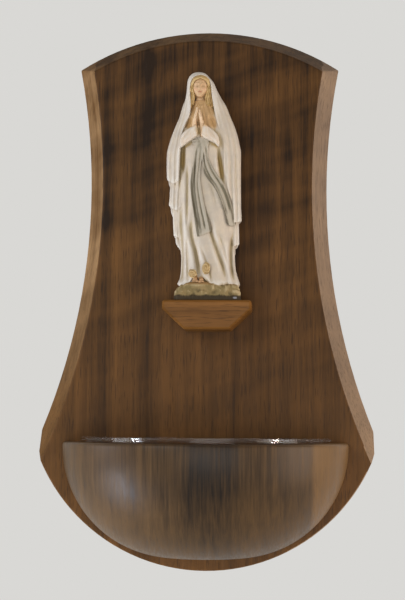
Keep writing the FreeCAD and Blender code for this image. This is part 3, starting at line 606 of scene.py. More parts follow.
# %% dress the shelf
shelf_wood = walnut(
    "Satin_walnut_across",
    [(-0.2, 0.55), (-0.09, 0.62), (-0.084, 0.42), (-0.078, 0.7)],
    along="X", light="#865b2e", dark="#38230d", seed=0.9, lines=0.32, ripple=0.22, pores=0.4,
)
softened("statue_shelf", 0.4 * MM, shelf_wood)

# %% [markdown]
# ## The liner
# The water stands in a clear cast liner that lifts out for washing. Its edges are flame polished, and
# they are what shows: the walls take the colour of the wood behind them.

# %% dress the liner
clear = bare("Clear_cast_liner")[0]
surfaced(clear, {"Base Color": linear("#b09a80"), "Alpha": 0.22, "Roughness": 0.03, "IOR": 1.49,
                 "Transmission Weight": 1.0})
softened("basin_liner", 0.7 * MM, clear, body="liner", angle=40, segments=4)

# %% [markdown]
# ## Screws, plate and pin
# The fixings are bought parts: countersunk cross-head wood screws and a pressed keyhole plate, both in
# bright zinc, and a length of drawn steel wire. Zinc looks pale, a little clouded and less sharp than
# steel. The wood screw is turned with a plain neck, a thinner core and a tip, its thread is a helix with
# a sharp crest, and the recess is sunk last. Three sizes of it come out of one tree. Every screw has
# stopped at its own angle, so each gets a turn from a fixed seed.

# %% the metals
DRAWN_LINE = 0.25                  # mm between fine lines, wider than real ones so that they show
CLOUD = 2.86                       # mm from one cloud in the zinc to the next
GLOSS_SPREAD = 0.10


def metal(name, base, shade, gloss, grain):
    """Bare metal with fine lines. grain stretches the lines along one axis."""
    material, tree = bare(name)
    spot = add(tree, "TexCoord").outputs["Object"]
    drawn = add(tree, "Mapping", {"Vector": spot, "Scale": grain})
    fine = add(tree, "TexNoise", {"Vector": drawn, "Scale": to_the_metre(DRAWN_LINE), "Detail": 3.0})
    cloud = add(tree, "TexNoise", {"Vector": spot, "Scale": to_the_metre(CLOUD), "Detail": 3.0})
    colour = add(tree, "Mix", {0: cloud, 6: linear(base), 7: linear(shade)}, data_type="RGBA")
    rough = add(tree, "MapRange", {0: fine, 1: 0.3, 2: 0.7, 3: gloss - GLOSS_SPREAD, 4: gloss + GLOSS_SPREAD})
    lines = add(tree, "Bump", {"Height": fine, "Distance": 0.02 * MM, "Strength": 0.3})
    surfaced(material, {"Base Color": colour, "Metallic": 1.0, "Roughness": rough, "Normal": lines})
    return material


zinc_sheet = metal("Bright_zinc_on_pressed_steel", "#c9c8c2", "#aeb0ae", 0.34, (1.0, 1.0, 0.06))
zinc_screw = metal("Bright_zinc_on_rolled_steel", "#cfcdc3", "#a9a796", 0.30, (1.0, 0.2, 1.0))
wire = metal("Drawn_steel_wire", "#b4b4b2", "#8f8f8e", 0.28, (1.0, 1.0, 0.03))
softened("hanger_plate", 0.2 * MM, zinc_sheet)
softened("statue_pin", 0.3 * MM, wire)

# %% the wood screws
SCREW_STEPS = 32
SCREW_CRISP = math.radians(28)
SCREW = {
    "Head Radius": 3.9 * MM, "Head Face": 3.7 * MM, "Head Edge": 0.15 * MM, "Head Depth": 2.2 * MM,
    "Neck Radius": 1.9 * MM, "Core Radius": 1.35 * MM, "Thread Start": 12.0 * MM, "Tip Start": 31.0 * MM,
    "Length": 35.0 * MM, "Pitch": 1.8 * MM, "Thread Height": 0.55 * MM, "Recess Width": 0.9 * MM,
    "Recess Length": 4.4 * MM, "Recess Depth": 1.5 * MM, "Turn Seed": 1.0,
}
tree, size = sized_tree("cross_head_wood_screw", SCREW)
thread_full = add(tree, "Math", {0: size["Thread Start"], 1: size["Thread Height"]}, operation="ADD")
blank = through_spots(tree, [section_spot(tree, reach, depth) for reach, depth in (
    (0.0, 0.0),
    (size["Head Face"], 0.0),
    (size["Head Radius"], size["Head Edge"]),
    (size["Neck Radius"], size["Head Depth"]),
    (size["Neck Radius"], size["Thread Start"]),
    (size["Core Radius"], thread_full),
    (size["Core Radius"], size["Tip Start"]),
    (0.0, size["Length"]),
)])
full_turn = add(tree, "CurvePrimitiveCircle", {"Resolution": SCREW_STEPS, "Radius": PATH_RADIUS}, mode="RADIUS")
both_ways = add(tree, "Math", {0: size["Recess Depth"], 1: 2.0}, operation="MULTIPLY")
blocks = [add(tree, "MeshCube", {"Size": add(tree, "CombineXYZ", {0: size[wide], 1: size[deep], 2: both_ways})})
          for wide, deep in (("Recess Length", "Recess Width"), ("Recess Width", "Recess Length"))]
cross = add(tree, "MeshBoolean", {"Mesh 2": blocks}, operation="UNION", solver="EXACT")
headed = add(tree, "MeshBoolean", {"Mesh 1": swept(tree, blank, full_turn), "Mesh 2": cross},
             operation="DIFFERENCE", solver="EXACT")
first_turn = add(tree, "Math", {0: size["Thread Start"], 1: size["Pitch"]}, operation="ADD")
threaded = add(tree, "Math", {0: size["Tip Start"], 1: first_turn}, operation="SUBTRACT")
turns = add(tree, "Math", {0: threaded, 1: size["Pitch"]}, operation="DIVIDE")
helix = add(tree, "CurveSpiral", {"Resolution": SCREW_STEPS, "Rotations": turns, "Height": threaded,
                                  "Start Radius": size["Core Radius"], "End Radius": size["Core Radius"]})
upright = add(tree, "SetCurveNormal", {0: helix}, mode="Z_UP")
crest = add(tree, "CurvePrimitiveCircle", {"Resolution": 3, "Radius": size["Thread Height"]}, mode="RADIUS")
thread = add(tree, "CurveToMesh", {"Curve": upright, "Profile Curve": crest, "Fill Caps": True})
low_end = add(tree, "Math", {0: size["Tip Start"], 1: -1.0}, operation="MULTIPLY")
thread = add(tree, "Transform", {"Geometry": thread, "Translation": add(tree, "CombineXYZ", {2: low_end})})
screw = add(tree, "JoinGeometry", {0: [headed, thread]})
placed = add(tree, "InstanceOnPoints", {"Points": size["Geometry"], "Instance": screw,
                                        "Rotation": (-QUARTER, 0, 0)})
turn = add(tree, "RandomValue", {"Min": 0.0, "Max": QUARTER, "Seed": size["Turn Seed"]}, data_type="FLOAT")
turned = add(tree, "RotateInstances", {"Instances": placed, "Rotation": add(tree, "CombineXYZ", {2: turn}),
                                       "Local Space": True})
with_material(tree, turned, zinc_screw)

SCREW_SETS = [
    # node, places (x, z) in mm, what differs from the large screw, in mm, and the seed of its turn
    ("basin_screws", BASIN_SCREWS, {}, 1.0),
    ("shelf_screws", [(-7.5, -84.3), (9.5, -84.3)],
     {"Head Radius": 3.4, "Head Face": 3.2, "Head Depth": 1.9, "Neck Radius": 1.65, "Core Radius": 1.2,
      "Thread Start": 10.0, "Tip Start": 26.5, "Pitch": 1.6, "Thread Height": 0.48, "Recess Width": 0.8,
      "Recess Length": 3.8, "Recess Depth": 1.3}, 2.0),
    ("hanger_screws", [(0.0, -12.5), (0.0, 20.5)],
     {"Head Radius": 2.4, "Head Face": 2.25, "Head Depth": 1.35, "Neck Radius": 1.2, "Core Radius": 0.85,
      "Thread Start": 3.5, "Tip Start": 9.5, "Pitch": 1.2, "Thread Height": 0.36, "Recess Width": 0.6,
      "Recess Length": 2.8, "Recess Depth": 0.9}, 3.0),
]
for node, places, changes, seed in SCREW_SETS:
    low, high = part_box(node)
    sizes = {**SCREW, **{label: value * MM for label, value in changes.items()},
             "Length": high[1] - low[1], "Turn Seed": seed}
    grown(node, tree, [(x, high[1] / MM, z) for x, z in places], sizes, crisp=SCREW_CRISP)
    print("   box", [round(v / MM, 2) for v in (*low, *high)])

# %% [markdown]
# ## The carved figure: how it is built
# The figure is carved from one small block of lime wood, 100 mm tall with its rock. A carver thinks in
# solid forms: a round body, a shell of cloth over it, hollows cut between them. Signed distance fields
# work the same way. Each form is a formula that says how far a point is from its surface; forms are
# joined, cut and grooved by comparing those numbers, and the result is turned into a mesh. All lengths
# in this part are millimetres in the figure's own frame: x to its left hand, y backwards, z up from
# the shelf.

# %% fields of distance


class Block:
    """A block of space, cut into small cubes, in which a form is carved."""

    def __init__(self, low, high, step):
        self.low = np.array(low, dtype=float)
        self.step = step
        counts = [int(round((b - a) / step)) + 1 for a, b in zip(low, high)]
        axes = [a + step * np.arange(n) for a, n in zip(low, counts)]
        self.x = axes[0][:, None, None]
        self.y = axes[1][None, :, None]
        self.z = axes[2][None, None, :]


def join(a, b, blend=0.0):
    """Union of two forms, with a fillet of about the given size."""
    if blend <= 0:
        return np.minimum(a, b)
    share = np.clip(0.5 + 0.5 * (b - a) / blend, 0, 1)
    return b + (a - b) * share - blend * share * (1 - share)


def joined(forms, blend):
    """Union of several forms, one after the other."""
    whole, *others = forms
    for form in others:
        whole = join(whole, form, blend)
    return whole


def common(a, b, blend=0.0):
    """The part that two forms share, with a rounded edge."""
    return -join(-a, -b, blend)


def cut(a, b, blend=0.0):
    """The first form with the second one carved out of it."""
    return common(a, -b, blend)


def ramp(value, start, stop):
    """0 before start, 1 after stop, and smooth between."""
    share = np.clip((value - start) / (stop - start), 0, 1)
    return share * share * (3 - 2 * share)


def through(points, steps=8):
    """A smooth line through the points (Catmull-Rom), as an array."""
    p = np.array(points, dtype=float)
    p = np.vstack([2 * p[0] - p[1], p, 2 * p[-1] - p[-2]])
    t = np.linspace(0, 1, steps, endpoint=False)[:, None]
    out = []
    for a, b, c, d in zip(p[:-3], p[1:-2], p[2:-1], p[3:]):
        out.append(0.5 * (2 * b + (c - a) * t + (2 * a - 5 * b + 4 * c - d) * t ** 2
                          + (3 * b - a - 3 * c + d) * t ** 3))
    return np.vstack(out + [p[-2:-1]])


def line_gap(x, z, line):
    """Distance in the front view to a line, and how far along it (0 to 1) the nearest spot is."""
    best = np.inf
    where = 0.0
    count = len(line) - 1
    for i in range(count):
        a = line[i]
        d = line[i + 1] - a
        share = np.clip(((x - a[0]) * d[0] + (z - a[1]) * d[1]) / max(float(d @ d), 1e-9), 0, 1)
        gap = (x - a[0] - share * d[0]) ** 2 + (z - a[1] - share * d[1]) ** 2
        nearer = gap < best
        best = np.where(nearer, gap, best)
        where = np.where(nearer, (i + share) / count, where)
    return np.sqrt(best), where


def patch(x, z, corners, steps=6):
    """Signed distance in the front view to a closed smooth outline, negative inside."""
    p = np.array(corners, dtype=float)
    ring = through(np.vstack([p, p[:1]]), steps)
    gap = line_gap(x, z, ring)[0]
    inside = np.zeros(np.broadcast(x, z).shape, dtype=bool)
    for a, b in zip(ring[:-1], ring[1:]):
        crosses = (a[1] > z) != (b[1] > z)
        rise = b[1] - a[1] if abs(b[1] - a[1]) > 1e-9 else 1e-9
        inside ^= crosses & (x < a[0] + (z - a[1]) * (b[0] - a[0]) / rise)
    return np.where(inside, -gap, gap)


def ball(block, centre, radii):
    """An egg-shaped form, with its distance estimated from how fast it grows."""
    dx = (block.x - centre[0]) / radii[0]
    dy = (block.y - centre[1]) / radii[1]
    dz = (block.z - centre[2]) / radii[2]
    size = np.sqrt(dx * dx + dy * dy + dz * dz)
    slope = np.sqrt((dx / radii[0]) ** 2 + (dy / radii[1]) ** 2 + (dz / radii[2]) ** 2)
    return size * (size - 1) / np.maximum(slope, 1e-6)


def limb(block, start, stop, start_radius, stop_radius):
    """A tapered limb with round ends."""
    a = np.array(start, dtype=float)
    d = np.array(stop, dtype=float) - a
    share = ((block.x - a[0]) * d[0] + (block.y - a[1]) * d[1] + (block.z - a[2]) * d[2]) / float(d @ d)
    share = np.clip(share, 0, 1)
    gap = np.sqrt((block.x - a[0] - share * d[0]) ** 2 + (block.y - a[1] - share * d[1]) ** 2
                  + (block.z - a[2] - share * d[2]) ** 2)
    return gap - (start_radius + (stop_radius - start_radius) * share)


def smooth_table(z, rows, column):
    """A value that changes smoothly with height: a monotone cubic through the rows."""
    heights = np.array([row[0] for row in rows])
    values = np.array([row[column] for row in rows])
    order = np.argsort(heights)
    heights = heights[order]
    values = values[order]
    rise = np.diff(values) / np.diff(heights)
    slope = np.zeros_like(values)
    same = rise[:-1] * rise[1:] > 0
    slope[1:-1] = np.where(same, 2 * rise[:-1] * rise[1:] / np.where(same, rise[:-1] + rise[1:], 1), 0)
    slope[0] = rise[0]
    slope[-1] = rise[-1]
    at = np.clip(z, heights[0], heights[-1])
    i = np.clip(np.searchsorted(heights, at, side="right") - 1, 0, len(heights) - 2)
    h = heights[i + 1] - heights[i]
    t = (at - heights[i]) / h
    return ((1 + 2 * t) * (1 - t) ** 2 * values[i] + t * (1 - t) ** 2 * h * slope[i]
            + t * t * (3 - 2 * t) * values[i + 1] + t * t * (t - 1) * h * slope[i + 1])


def tube(block, rows, squareness=2.0):
    """A body of level ovals. Each row is (height, right, left, front, back), as in the CAD figure."""
    right, left, front, back = [smooth_table(block.z, rows, c) for c in (1, 2, 3, 4)]
    half_x = np.maximum((right + left) / 2, 0.05)
    half_y = np.maximum((front + back) / 2, 0.05)
    dx = (block.x - (left - right) / 2) / half_x
    dy = (block.y - (back - front) / 2) / half_y
    n = squareness
    size = (np.abs(dx) ** n + np.abs(dy) ** n) ** (1 / n)
    safe = np.maximum(size, 0.05)
    slope = np.sqrt((np.abs(dx / safe) ** (n - 1) / half_x) ** 2 + (np.abs(dy / safe) ** (n - 1) / half_y) ** 2)
    return (size - 1) / np.maximum(slope, 1e-3)


def dab(block, x, z, width, height):
    """1 at a spot of the front view, fading out over a width and a height."""
    return np.exp(-((block.x - x) / width) ** 2 - ((block.z - z) / height) ** 2)


def crease(block, points, width, depth, fade):
    """A groove (depth > 0) or a ridge (depth < 0) along a line in the front view."""
    gap, along = line_gap(block.x, block.z, through(points))
    ends = ramp(along, 0.0, fade) * ramp(1 - along, 0.0, fade)
    return depth * ends * np.exp(-(gap / width) ** 2)


# %% from a field to a mesh
SMALLEST_PIECE = 300               # vertices; what has fewer is a crumb
EDGE_GAP = 0.05                    # mm by which the faces of a block lie outside its form, at least
FIELD_REACH = 6                    # cubes; distances are only kept this near to a surface
base_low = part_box("statue")[0]
pin_low, pin_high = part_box("statue_pin")
FIGURE_FOOT = np.array(Vector(((pin_low.x + pin_high.x) / 2, (pin_low.y + pin_high.y) / 2, base_low.z)))


def set_up(spots):
    """The carver's last correction: the figure rises a little out of its rock and leans a hair to its
    right, while its crown and its foot stay where they are."""
    height = spots[:, 2]
    lift = np.interp(height, [4.0, 7.0, 13.0, 50.0, 85.0, 94.0, 100.1], [0.0, 0.5, 1.1, 1.5, 1.8, 1.4, -0.1])
    lean = np.interp(height, [4.0, 12.0, 100.0], [0.0, 0.45, 1.0])
    return spots + np.column_stack([-lean, np.zeros_like(lean), lift])


def sampled(block, values, spots):
    """Values of a field at free spots, mixed from the eight cubes round each."""
    values = np.broadcast_to(values, (block.x.size, block.y.size, block.z.size))
    at = (spots - block.low) / block.step
    cube = np.clip(np.floor(at).astype(int), 0, np.array(values.shape) - 2)
    part = np.clip(at - cube, 0, 1)
    total = 0
    for corner in range(8):
        step = np.array([corner >> 2 & 1, corner >> 1 & 1, corner & 1])
        weight = np.prod(np.where(step == 1, part, 1 - part), axis=1)
        total = total + weight * values[tuple((cube + step).T)]
    return total


def blurred(values, reach):
    """A box blur along all three axes, done twice, with running sums."""
    out = values.astype(np.float32)
    size = 2 * reach + 1
    for axis in (0, 1, 2, 0, 1, 2):
        pad = [(0, 0)] * 3
        pad[axis] = (reach + 1, reach)
        sums = np.cumsum(np.pad(out, pad, mode="edge"), axis=axis, dtype=np.float32)
        sums = np.moveaxis(sums, axis, 0)
        out = np.moveaxis((sums[size:] - sums[:-size]) / size, 0, axis)
    return out


def drop_crumbs(shape):
    """Delete the crumbs that no chisel would leave standing."""
    seen = set()
    crumbs = []
    for start in shape.verts:
        if start in seen:
            continue
        island = [start]
        seen.add(start)
        for vert in island:
            for edge in vert.link_edges:
                other = edge.other_vert(vert)
                if other not in seen:
                    seen.add(other)
                    island.append(other)
        if len(island) < SMALLEST_PIECE:
            crumbs += island
    bmesh.ops.delete(shape, geom=crumbs, context="VERTS")


def carved(part, block, field, material, blur, marks, thin):
    """Mesh the zero surface of a field, smooth, closed and with its faces outwards, and leave marks on it.
    blur is the reach in cubes by which hollows are measured, thin is how far flat stretches are thinned."""
    closed = field.astype(np.float32)
    for axis in range(3):
        layers = np.moveaxis(closed, axis, 0)
        layers[[0, -1]] = np.maximum(layers[[0, -1]], EDGE_GAP)
    reach = FIELD_REACH * block.step
    grid = openvdb.FloatGrid(float(reach))
    grid.copyFromArray(np.clip(closed, -reach, reach))
    grid.transform = openvdb.createLinearTransform(voxelSize=1.0)
    spots, threes, fours = grid.convertToPolygons(isovalue=0.0, adaptivity=thin)
    spots = (spots.astype(float) * block.step + block.low) * MM + FIGURE_FOOT
    name = "figure_" + part
    mesh = bpy.data.meshes.new(name)
    mesh.from_pydata(spots.tolist(), [], [tuple(f[::-1]) for faces in (fours, threes) for f in faces])
    shape = bmesh.new()
    shape.from_mesh(mesh)
    drop_crumbs(shape)
    bmesh.ops.recalc_face_normals(shape, faces=shape.faces)
    volume = shape.calc_volume(signed=True)
    if volume < 0:
        bmesh.ops.reverse_faces(shape, faces=shape.faces)
    shape.to_mesh(mesh)
    shape.free()
    spots = (np.array([v.co[:] for v in mesh.vertices]) - FIGURE_FOOT) / MM
    for key, values in {"hollow": field - blurred(field, blur), **marks}.items():
        mark = mesh.attributes.new(key, "FLOAT", "POINT")
        mark.data.foreach_set("value", sampled(block, values, spots).astype(np.float32))
    upright = set_up(spots) * MM + FIGURE_FOOT
    mesh.vertices.foreach_set("co", upright.astype(np.float32).ravel())
    mesh.materials.append(material)
    mesh.shade_smooth()
    made = bpy.data.objects.new(name, mesh)
    scene.collection.objects.link(made)
    place_in_frame(made, "stoup", "statue")
    triangles = sum(len(p.vertices) - 2 for p in mesh.polygons)
    print("%s: %d triangles, %.0f mm3" % (name, triangles, abs(volume) / MM ** 3))


# %% [markdown]
# ## Robe and veil
# The cloth has two layers. The gown is the inner body. The veil lies over the head, wraps the
# shoulders and falls at both sides and behind in three overlapping layers, whose hems end at
# different heights and step inwards. Its front opening is a hollow cut into the shell. The outlines
# are tables of reach at each height, like a carver's side and front drawings, and the folds are given
# as the ridges that the eye follows: between two ridges the surface dips into a valley.

# %% tables and fold helpers for the cloth
CLOTH_STEP = 0.24
cloth = Block((-20.6, -13.5, 4.0), (17.6, 11.0, 101.2), CLOTH_STEP)

GOWN = [
    # height, right, left, front, back
    (4.5, 13.2, 14.0, 9.3, 8.2),
    (6.5, 13.2, 14.1, 9.4, 8.2),
    (9.3, 12.0, 13.4, 9.0, 8.0),
    (13.0, 11.5, 12.5, 8.6, 7.8),
    (17.5, 11.4, 12.2, 8.2, 7.6),
    (22.5, 11.9, 12.1, 8.0, 7.4),
    (34.0, 13.0, 11.8, 7.7, 7.2),
    (50.0, 13.2, 11.4, 7.3, 7.0),
    (62.0, 13.0, 11.0, 6.5, 7.0),
    (70.0, 12.0, 9.6, 6.6, 6.6),
    (78.0, 9.8, 7.0, 5.2, 6.0),
    (83.0, 6.8, 3.4, 3.0, 4.8),
    (86.0, 5.4, 0.9, 1.6, 3.6),
]
VEIL = [
    (26.0, 17.8, 15.5, 6.9, 8.3),
    (34.6, 18.2, 15.3, 7.0, 8.4),
    (38.9, 18.3, 15.1, 7.2, 8.5),
    (43.2, 18.0, 15.0, 7.2, 8.5),
    (50.5, 17.8, 15.0, 7.0, 8.6),
    (57.0, 18.0, 15.0, 6.8, 8.6),
    (62.6, 17.8, 15.0, 6.6, 8.6),
    (67.4, 16.6, 14.2, 6.5, 8.4),
    (73.4, 14.3, 12.5, 6.2, 8.1),
    (78.6, 12.1, 10.3, 5.6, 7.7),
    (82.9, 10.8, 8.6, 5.3, 7.4),
    (86.4, 9.5, 6.5, 5.1, 7.1),
    (90.3, 8.9, 4.5, 4.7, 6.8),
    (94.2, 8.6, 2.8, 3.9, 6.2),
    (96.8, 8.0, 1.2, 3.0, 5.2),
    (98.6, 6.9, -0.1, 2.0, 3.6),
    (99.6, 5.6, -1.4, 1.0, 1.9),
    (100.1, 4.0, -3.1, -0.1, 0.4),
]
VALLEY_ROUND = 0.02                # keeps the bottom of a valley from being a crack
KNEE = (4.6, 38.0, 3.4, 11.0)      # x, z, width and height of the dab
KNEE_PUSH = 1.1


def hem(block, rows):
    """Height of a hem as the veil is walked round: rows of (degrees, height), 0 at the figure's left
    hand, 90 at the front, 180 at its right hand and 270 at the back."""
    angle = np.degrees(np.arctan2(-block.y, block.x + 1.2)) % 360
    return np.interp(angle, [row[0] for row in rows], [row[1] for row in rows], period=360)


def round_folds(block, count, start, drift=0.0, sharp=1.0):
    """Round ridges and narrow valleys round the figure, 0 in a valley and 1 on a ridge."""
    angle = np.arctan2(block.y, block.x + 1.2)
    wave = np.cos(0.5 * (count * angle + start + drift * block.z))
    return (wave ** 2 + VALLEY_ROUND) ** (sharp / 2)


def ridge_folds(block, heights, ridges, sharp=0.75):
    """Folds in the front view: 1 on each ridge and 0 in the valley between two. Each ridge is its x at
    the given heights."""
    z = block.z.ravel()
    order = np.argsort(heights)
    level = np.array(heights)[order]
    tracks = np.array([np.interp(z, level, np.array(ridge)[order]) for ridge in ridges])
    kernel = np.hanning(int(5 / block.step) | 1)
    kernel /= kernel.sum()
    half = len(kernel) // 2
    tracks = np.array([np.convolve(np.pad(t, half, mode="edge"), kernel, mode="valid") for t in tracks])
    x = block.x.ravel()
    number = np.array([np.interp(x, tracks[:, k], np.arange(len(ridges))) for k in range(z.size)]).T
    return ((np.cos(math.pi * number) ** 2 + VALLEY_ROUND) ** (sharp / 2))[:, None, :]


front = ramp(-cloth.y, -1.0, 3.0)
behind = 1 - front

# %% the gown and its folds
gown_body = tube(cloth, GOWN, 2.2)
gown_body = common(gown_body, cloth.z - 86.0, 1.0)

# the knee that bears no weight pushes the cloth forward
knee = dab(cloth, *KNEE)
gown_body = gown_body - front * KNEE_PUSH * knee

# each long fold of the skirt is a valley line with its width and depth
GOWN_VALLEYS = [
    ([(-5.6, 40.0), (-6.6, 32.0), (-6.3, 26.0), (-4.6, 19.0), (-3.2, 12.0), (-2.6, 6.0)], 1.15, 1.5),
    ([(-1.0, 38.0), (1.0, 32.0), (2.6, 26.0), (5.0, 19.0), (7.6, 12.0), (9.6, 4.0)], 1.0, 1.3),
    ([(11.6, 30.0), (10.8, 24.0), (10.4, 18.0), (10.9, 11.0), (12.4, 4.0)], 0.85, 1.1),
    ([(-10.4, 44.0), (-10.9, 34.0), (-10.4, 20.0), (-10.6, 10.0), (-11.6, 3.0)], 0.8, 0.9),
    ([(-8.4, 62.0), (-8.2, 50.0), (-8.4, 38.0), (-8.2, 28.0)], 0.7, 0.7),
    ([(-8.7, 28.0), (-8.3, 16.0), (-7.6, 4.0)], 0.5, 0.5),
    ([(-3.0, 24.0), (-0.6, 17.0), (1.6, 10.0), (2.4, 4.0)], 0.6, 0.6),
    ([(4.6, 30.0), (7.4, 21.0), (9.6, 12.0)], 0.5, 0.45),
    ([(0.4, 52.0), (3.2, 44.0), (4.6, 36.0)], 0.8, 0.35),
    ([(-12.4, 26.0), (-12.2, 14.0), (-13.0, 5.0)], 0.4, 0.45),
]
gown = gown_body
for points, width, depth in GOWN_VALLEYS:
    gown = gown + front * crease(cloth, points, width, depth, 0.3)

FINE_LEVELS = [70, 50, 30, 16, 4]
FINE_RIDGES = [
    [-13, -13, -13, -12.6, -13.4], [-10.0, -10.3, -10.1, -9.8, -10.4], [-6.9, -7.0, -6.4, -6.4, -6.8],
    [-4.2, -3.4, -2.6, -1.4, -1.2], [-1.4, 0.8, 2.4, 4.4, 5.4], [2.2, 5.4, 7.6, 8.8, 10.4],
    [6.0, 9.6, 11.4, 12.2, 14.4],
]
fine = ridge_folds(cloth, FINE_LEVELS, FINE_RIDGES, 0.9)
gown = gown + front * 0.30 * (1 - fine) * ramp(72 - cloth.z, 0, 20) * (1 - 0.7 * knee)

# the bodice: shallow folds that run from the shoulders to the clasped sleeves
BODICE_LEVELS = [88, 82, 76, 70]
BODICE_RIDGES = [
    [-6.6, -9.0, -11.5, -13.0], [-5.4, -6.8, -8.4, -9.4], [-4.4, -5.0, -5.8, -6.2], [-3.4, -3.6, -3.8, -3.8],
    [-2.2, -2.0, -1.4, -1.0], [-1.0, 0.0, 1.4, 2.4], [0.0, 2.0, 4.2, 5.6], [1.2, 4.4, 7.4, 9.2],
]
bodice = ridge_folds(cloth, BODICE_LEVELS, BODICE_RIDGES, 0.8)
gown = gown + front * 0.55 * (1 - bodice) * ramp(cloth.z, 69, 73) * ramp(85.5 - cloth.z, 0, 2.5)
gown = gown + behind * ramp(60 - cloth.z, 0, 30) * 1.1 * (1 - round_folds(cloth, 13, 1.0, 0.02, 0.7))

# the neckline: a thin raised border
NECKLINE = [(-6.2, 86.4), (-5.2, 84.6), (-3.6, 83.2), (-2.4, 82.8), (-1.0, 83.4), (0.2, 84.8), (1.0, 86.4)]
from_neckline = line_gap(cloth.x, cloth.z, through(NECKLINE))[0]
gown = gown - front * 0.35 * np.exp(-(from_neckline / 0.4) ** 2)

# the hem rests on the rock in an uneven line and is lifted over the feet
hem_line = (5.9 + 0.45 * np.sin(cloth.x * 0.9 + 0.6) + 0.3 * np.sin(cloth.x * 2.3)
            + 3.6 * np.exp(-((cloth.x + 3.4) / 3.6) ** 4) * ramp(-cloth.y, 6.2, 7.4))
gown = common(gown, hem_line - cloth.z, 0.5)
print("gown: %d long valleys" % len(GOWN_VALLEYS))

# %% the veil and its three layers
veil = common(tube(cloth, VEIL, 2.15), cloth.z - 100.0, 0.3)
deep = ramp(96 - cloth.z, 2.0, 60.0)
back_folds = round_folds(cloth, 9, 0.6, 0.010, 0.75) * 0.7 + round_folds(cloth, 17, 2.0, -0.014, 0.8) * 0.3
veil = veil + behind * deep * 1.5 * (1 - back_folds)

FALL_LEVELS = [98, 90, 84, 78, 70, 62, 50, 40, 30]
LEFT_FALL = [
    [-1.0, 1.6, 2.6, 3.6, 5.4, 6.8, 7.2, 8.0, 9.0],
    [-0.2, 2.8, 4.4, 6.0, 8.0, 9.0, 9.4, 10.0, 10.6],
    [0.4, 3.8, 6.0, 8.2, 10.4, 11.4, 11.6, 12.0, 12.2],
    [1.0, 4.8, 7.4, 10.2, 12.6, 13.6, 13.8, 14.0, 14.2],
    [1.8, 6.0, 9.0, 12.0, 15.0, 16.2, 16.4, 16.6, 16.8],
]
RIGHT_FALL = [
    [-9.6, -10.6, -12.2, -14.4, -17.0, -19.0, -19.2, -19.0, -18.6],
    [-8.6, -9.3, -10.6, -12.4, -14.9, -16.6, -16.8, -16.6, -16.2],
    [-7.6, -8.2, -9.2, -10.6, -12.9, -14.4, -14.6, -14.8, -14.6],
    [-6.6, -7.2, -7.9, -9.0, -11.0, -12.2, -12.6, -13.0, -13.0],
    [-5.8, -6.4, -6.6, -7.4, -9.4, -10.4, -10.8, -11.4, -11.6],
]
left_fall = ridge_folds(cloth, FALL_LEVELS, LEFT_FALL, 0.8)
right_fall = ridge_folds(cloth, FALL_LEVELS, RIGHT_FALL, 0.8)
fall_depth = np.interp(cloth.z, [30, 50, 66, 80, 90, 97], [0.9, 0.75, 0.55, 0.4, 0.25, 0.0])
veil = veil + front * fall_depth * np.where(cloth.x > -2.4, 1 - left_fall, 1 - right_fall)

VEIL_LAYERS = [
    # how far in the layer lies, and its hem: (degrees round the figure, height)
    (0.0, [(0, 33.4), (25, 32.0), (50, 36.0), (75, 45.0), (120, 56.0), (145, 52.5), (165, 49.2), (180, 51.6),
           (200, 47.0), (230, 38.0), (270, 30.0), (310, 29.0), (340, 31.5)]),
    (1.3, [(0, 23.4), (22, 21.6), (45, 27.0), (60, 33.0), (120, 46.0), (145, 41.0), (165, 37.6), (180, 40.4),
           (210, 30.0), (270, 17.0), (320, 18.0), (345, 21.0)]),
    (2.9, [(0, 19.0), (60, 30.0), (120, 38.0), (140, 31.0), (160, 25.4), (180, 27.0), (210, 18.0), (270, 9.0),
           (330, 12.0)]),
]
mantle = joined([common(veil + inset, hem(cloth, rows) - cloth.z, 0.5) for inset, rows in VEIL_LAYERS], 0.15)

# the front opening, from the crown of the hood down between the two falls of cloth
OPENING = [
    (-2.8, 97.9), (-0.9, 97.2), (0.9, 95.0), (1.8, 91.8), (2.2, 88.0), (2.8, 84.0), (3.6, 79.6),
    (4.6, 75.0), (6.0, 70.6), (7.0, 66.0), (7.3, 60.0), (7.6, 54.0), (8.6, 48.0), (10.6, 42.0),
    (11.6, 34.0), (11.0, 26.0), (11.0, 2.0), (-9.0, 2.0), (-9.4, 22.0), (-7.9, 31.0), (-10.2, 36.0),
    (-11.0, 42.0), (-11.7, 50.0), (-11.6, 56.0), (-11.2, 64.0), (-10.6, 70.0), (-8.8, 75.0),
    (-7.2, 79.4), (-6.9, 84.0), (-7.2, 89.0), (-6.9, 93.4), (-5.4, 96.6),
]
opening = patch(cloth.x, cloth.z, OPENING, 4)
hollow_floor = np.interp(cloth.z, [0, 60, 76, 86, 90, 99], [0.0, 0.0, 1.0, 1.6, 1.8, 1.8])
mantle = cut(mantle, common(opening, cloth.y - hollow_floor, 0.8), 0.5)
# a thin turned border along the opening
mantle = mantle - front * 0.3 * np.exp(-((opening - 0.55) / 0.35) ** 2) * ramp(cloth.z, 44, 50)
print("veil: %d layers" % len(VEIL_LAYERS))

# %% hollows, sleeves and cuffs
HOLLOWS = [
    ([(-9.9, 67.0), (-10.3, 60.0), (-10.2, 52.0)], 0.9, 1.9),
    ([(4.7, 67.0), (5.6, 60.0), (6.5, 53.0), (7.0, 47.0)], 0.9, 1.8),
    ([(1.0, 78.6), (2.6, 75.8), (4.2, 73.0)], 1.2, 1.0),
    ([(-6.8, 78.0), (-8.0, 75.2), (-9.2, 72.6)], 1.1, 1.1),
]
for points, width, depth in HOLLOWS:
    gown = gown + front * crease(cloth, points, width, depth, 0.4)
robes = join(gown, mantle, 0.2)

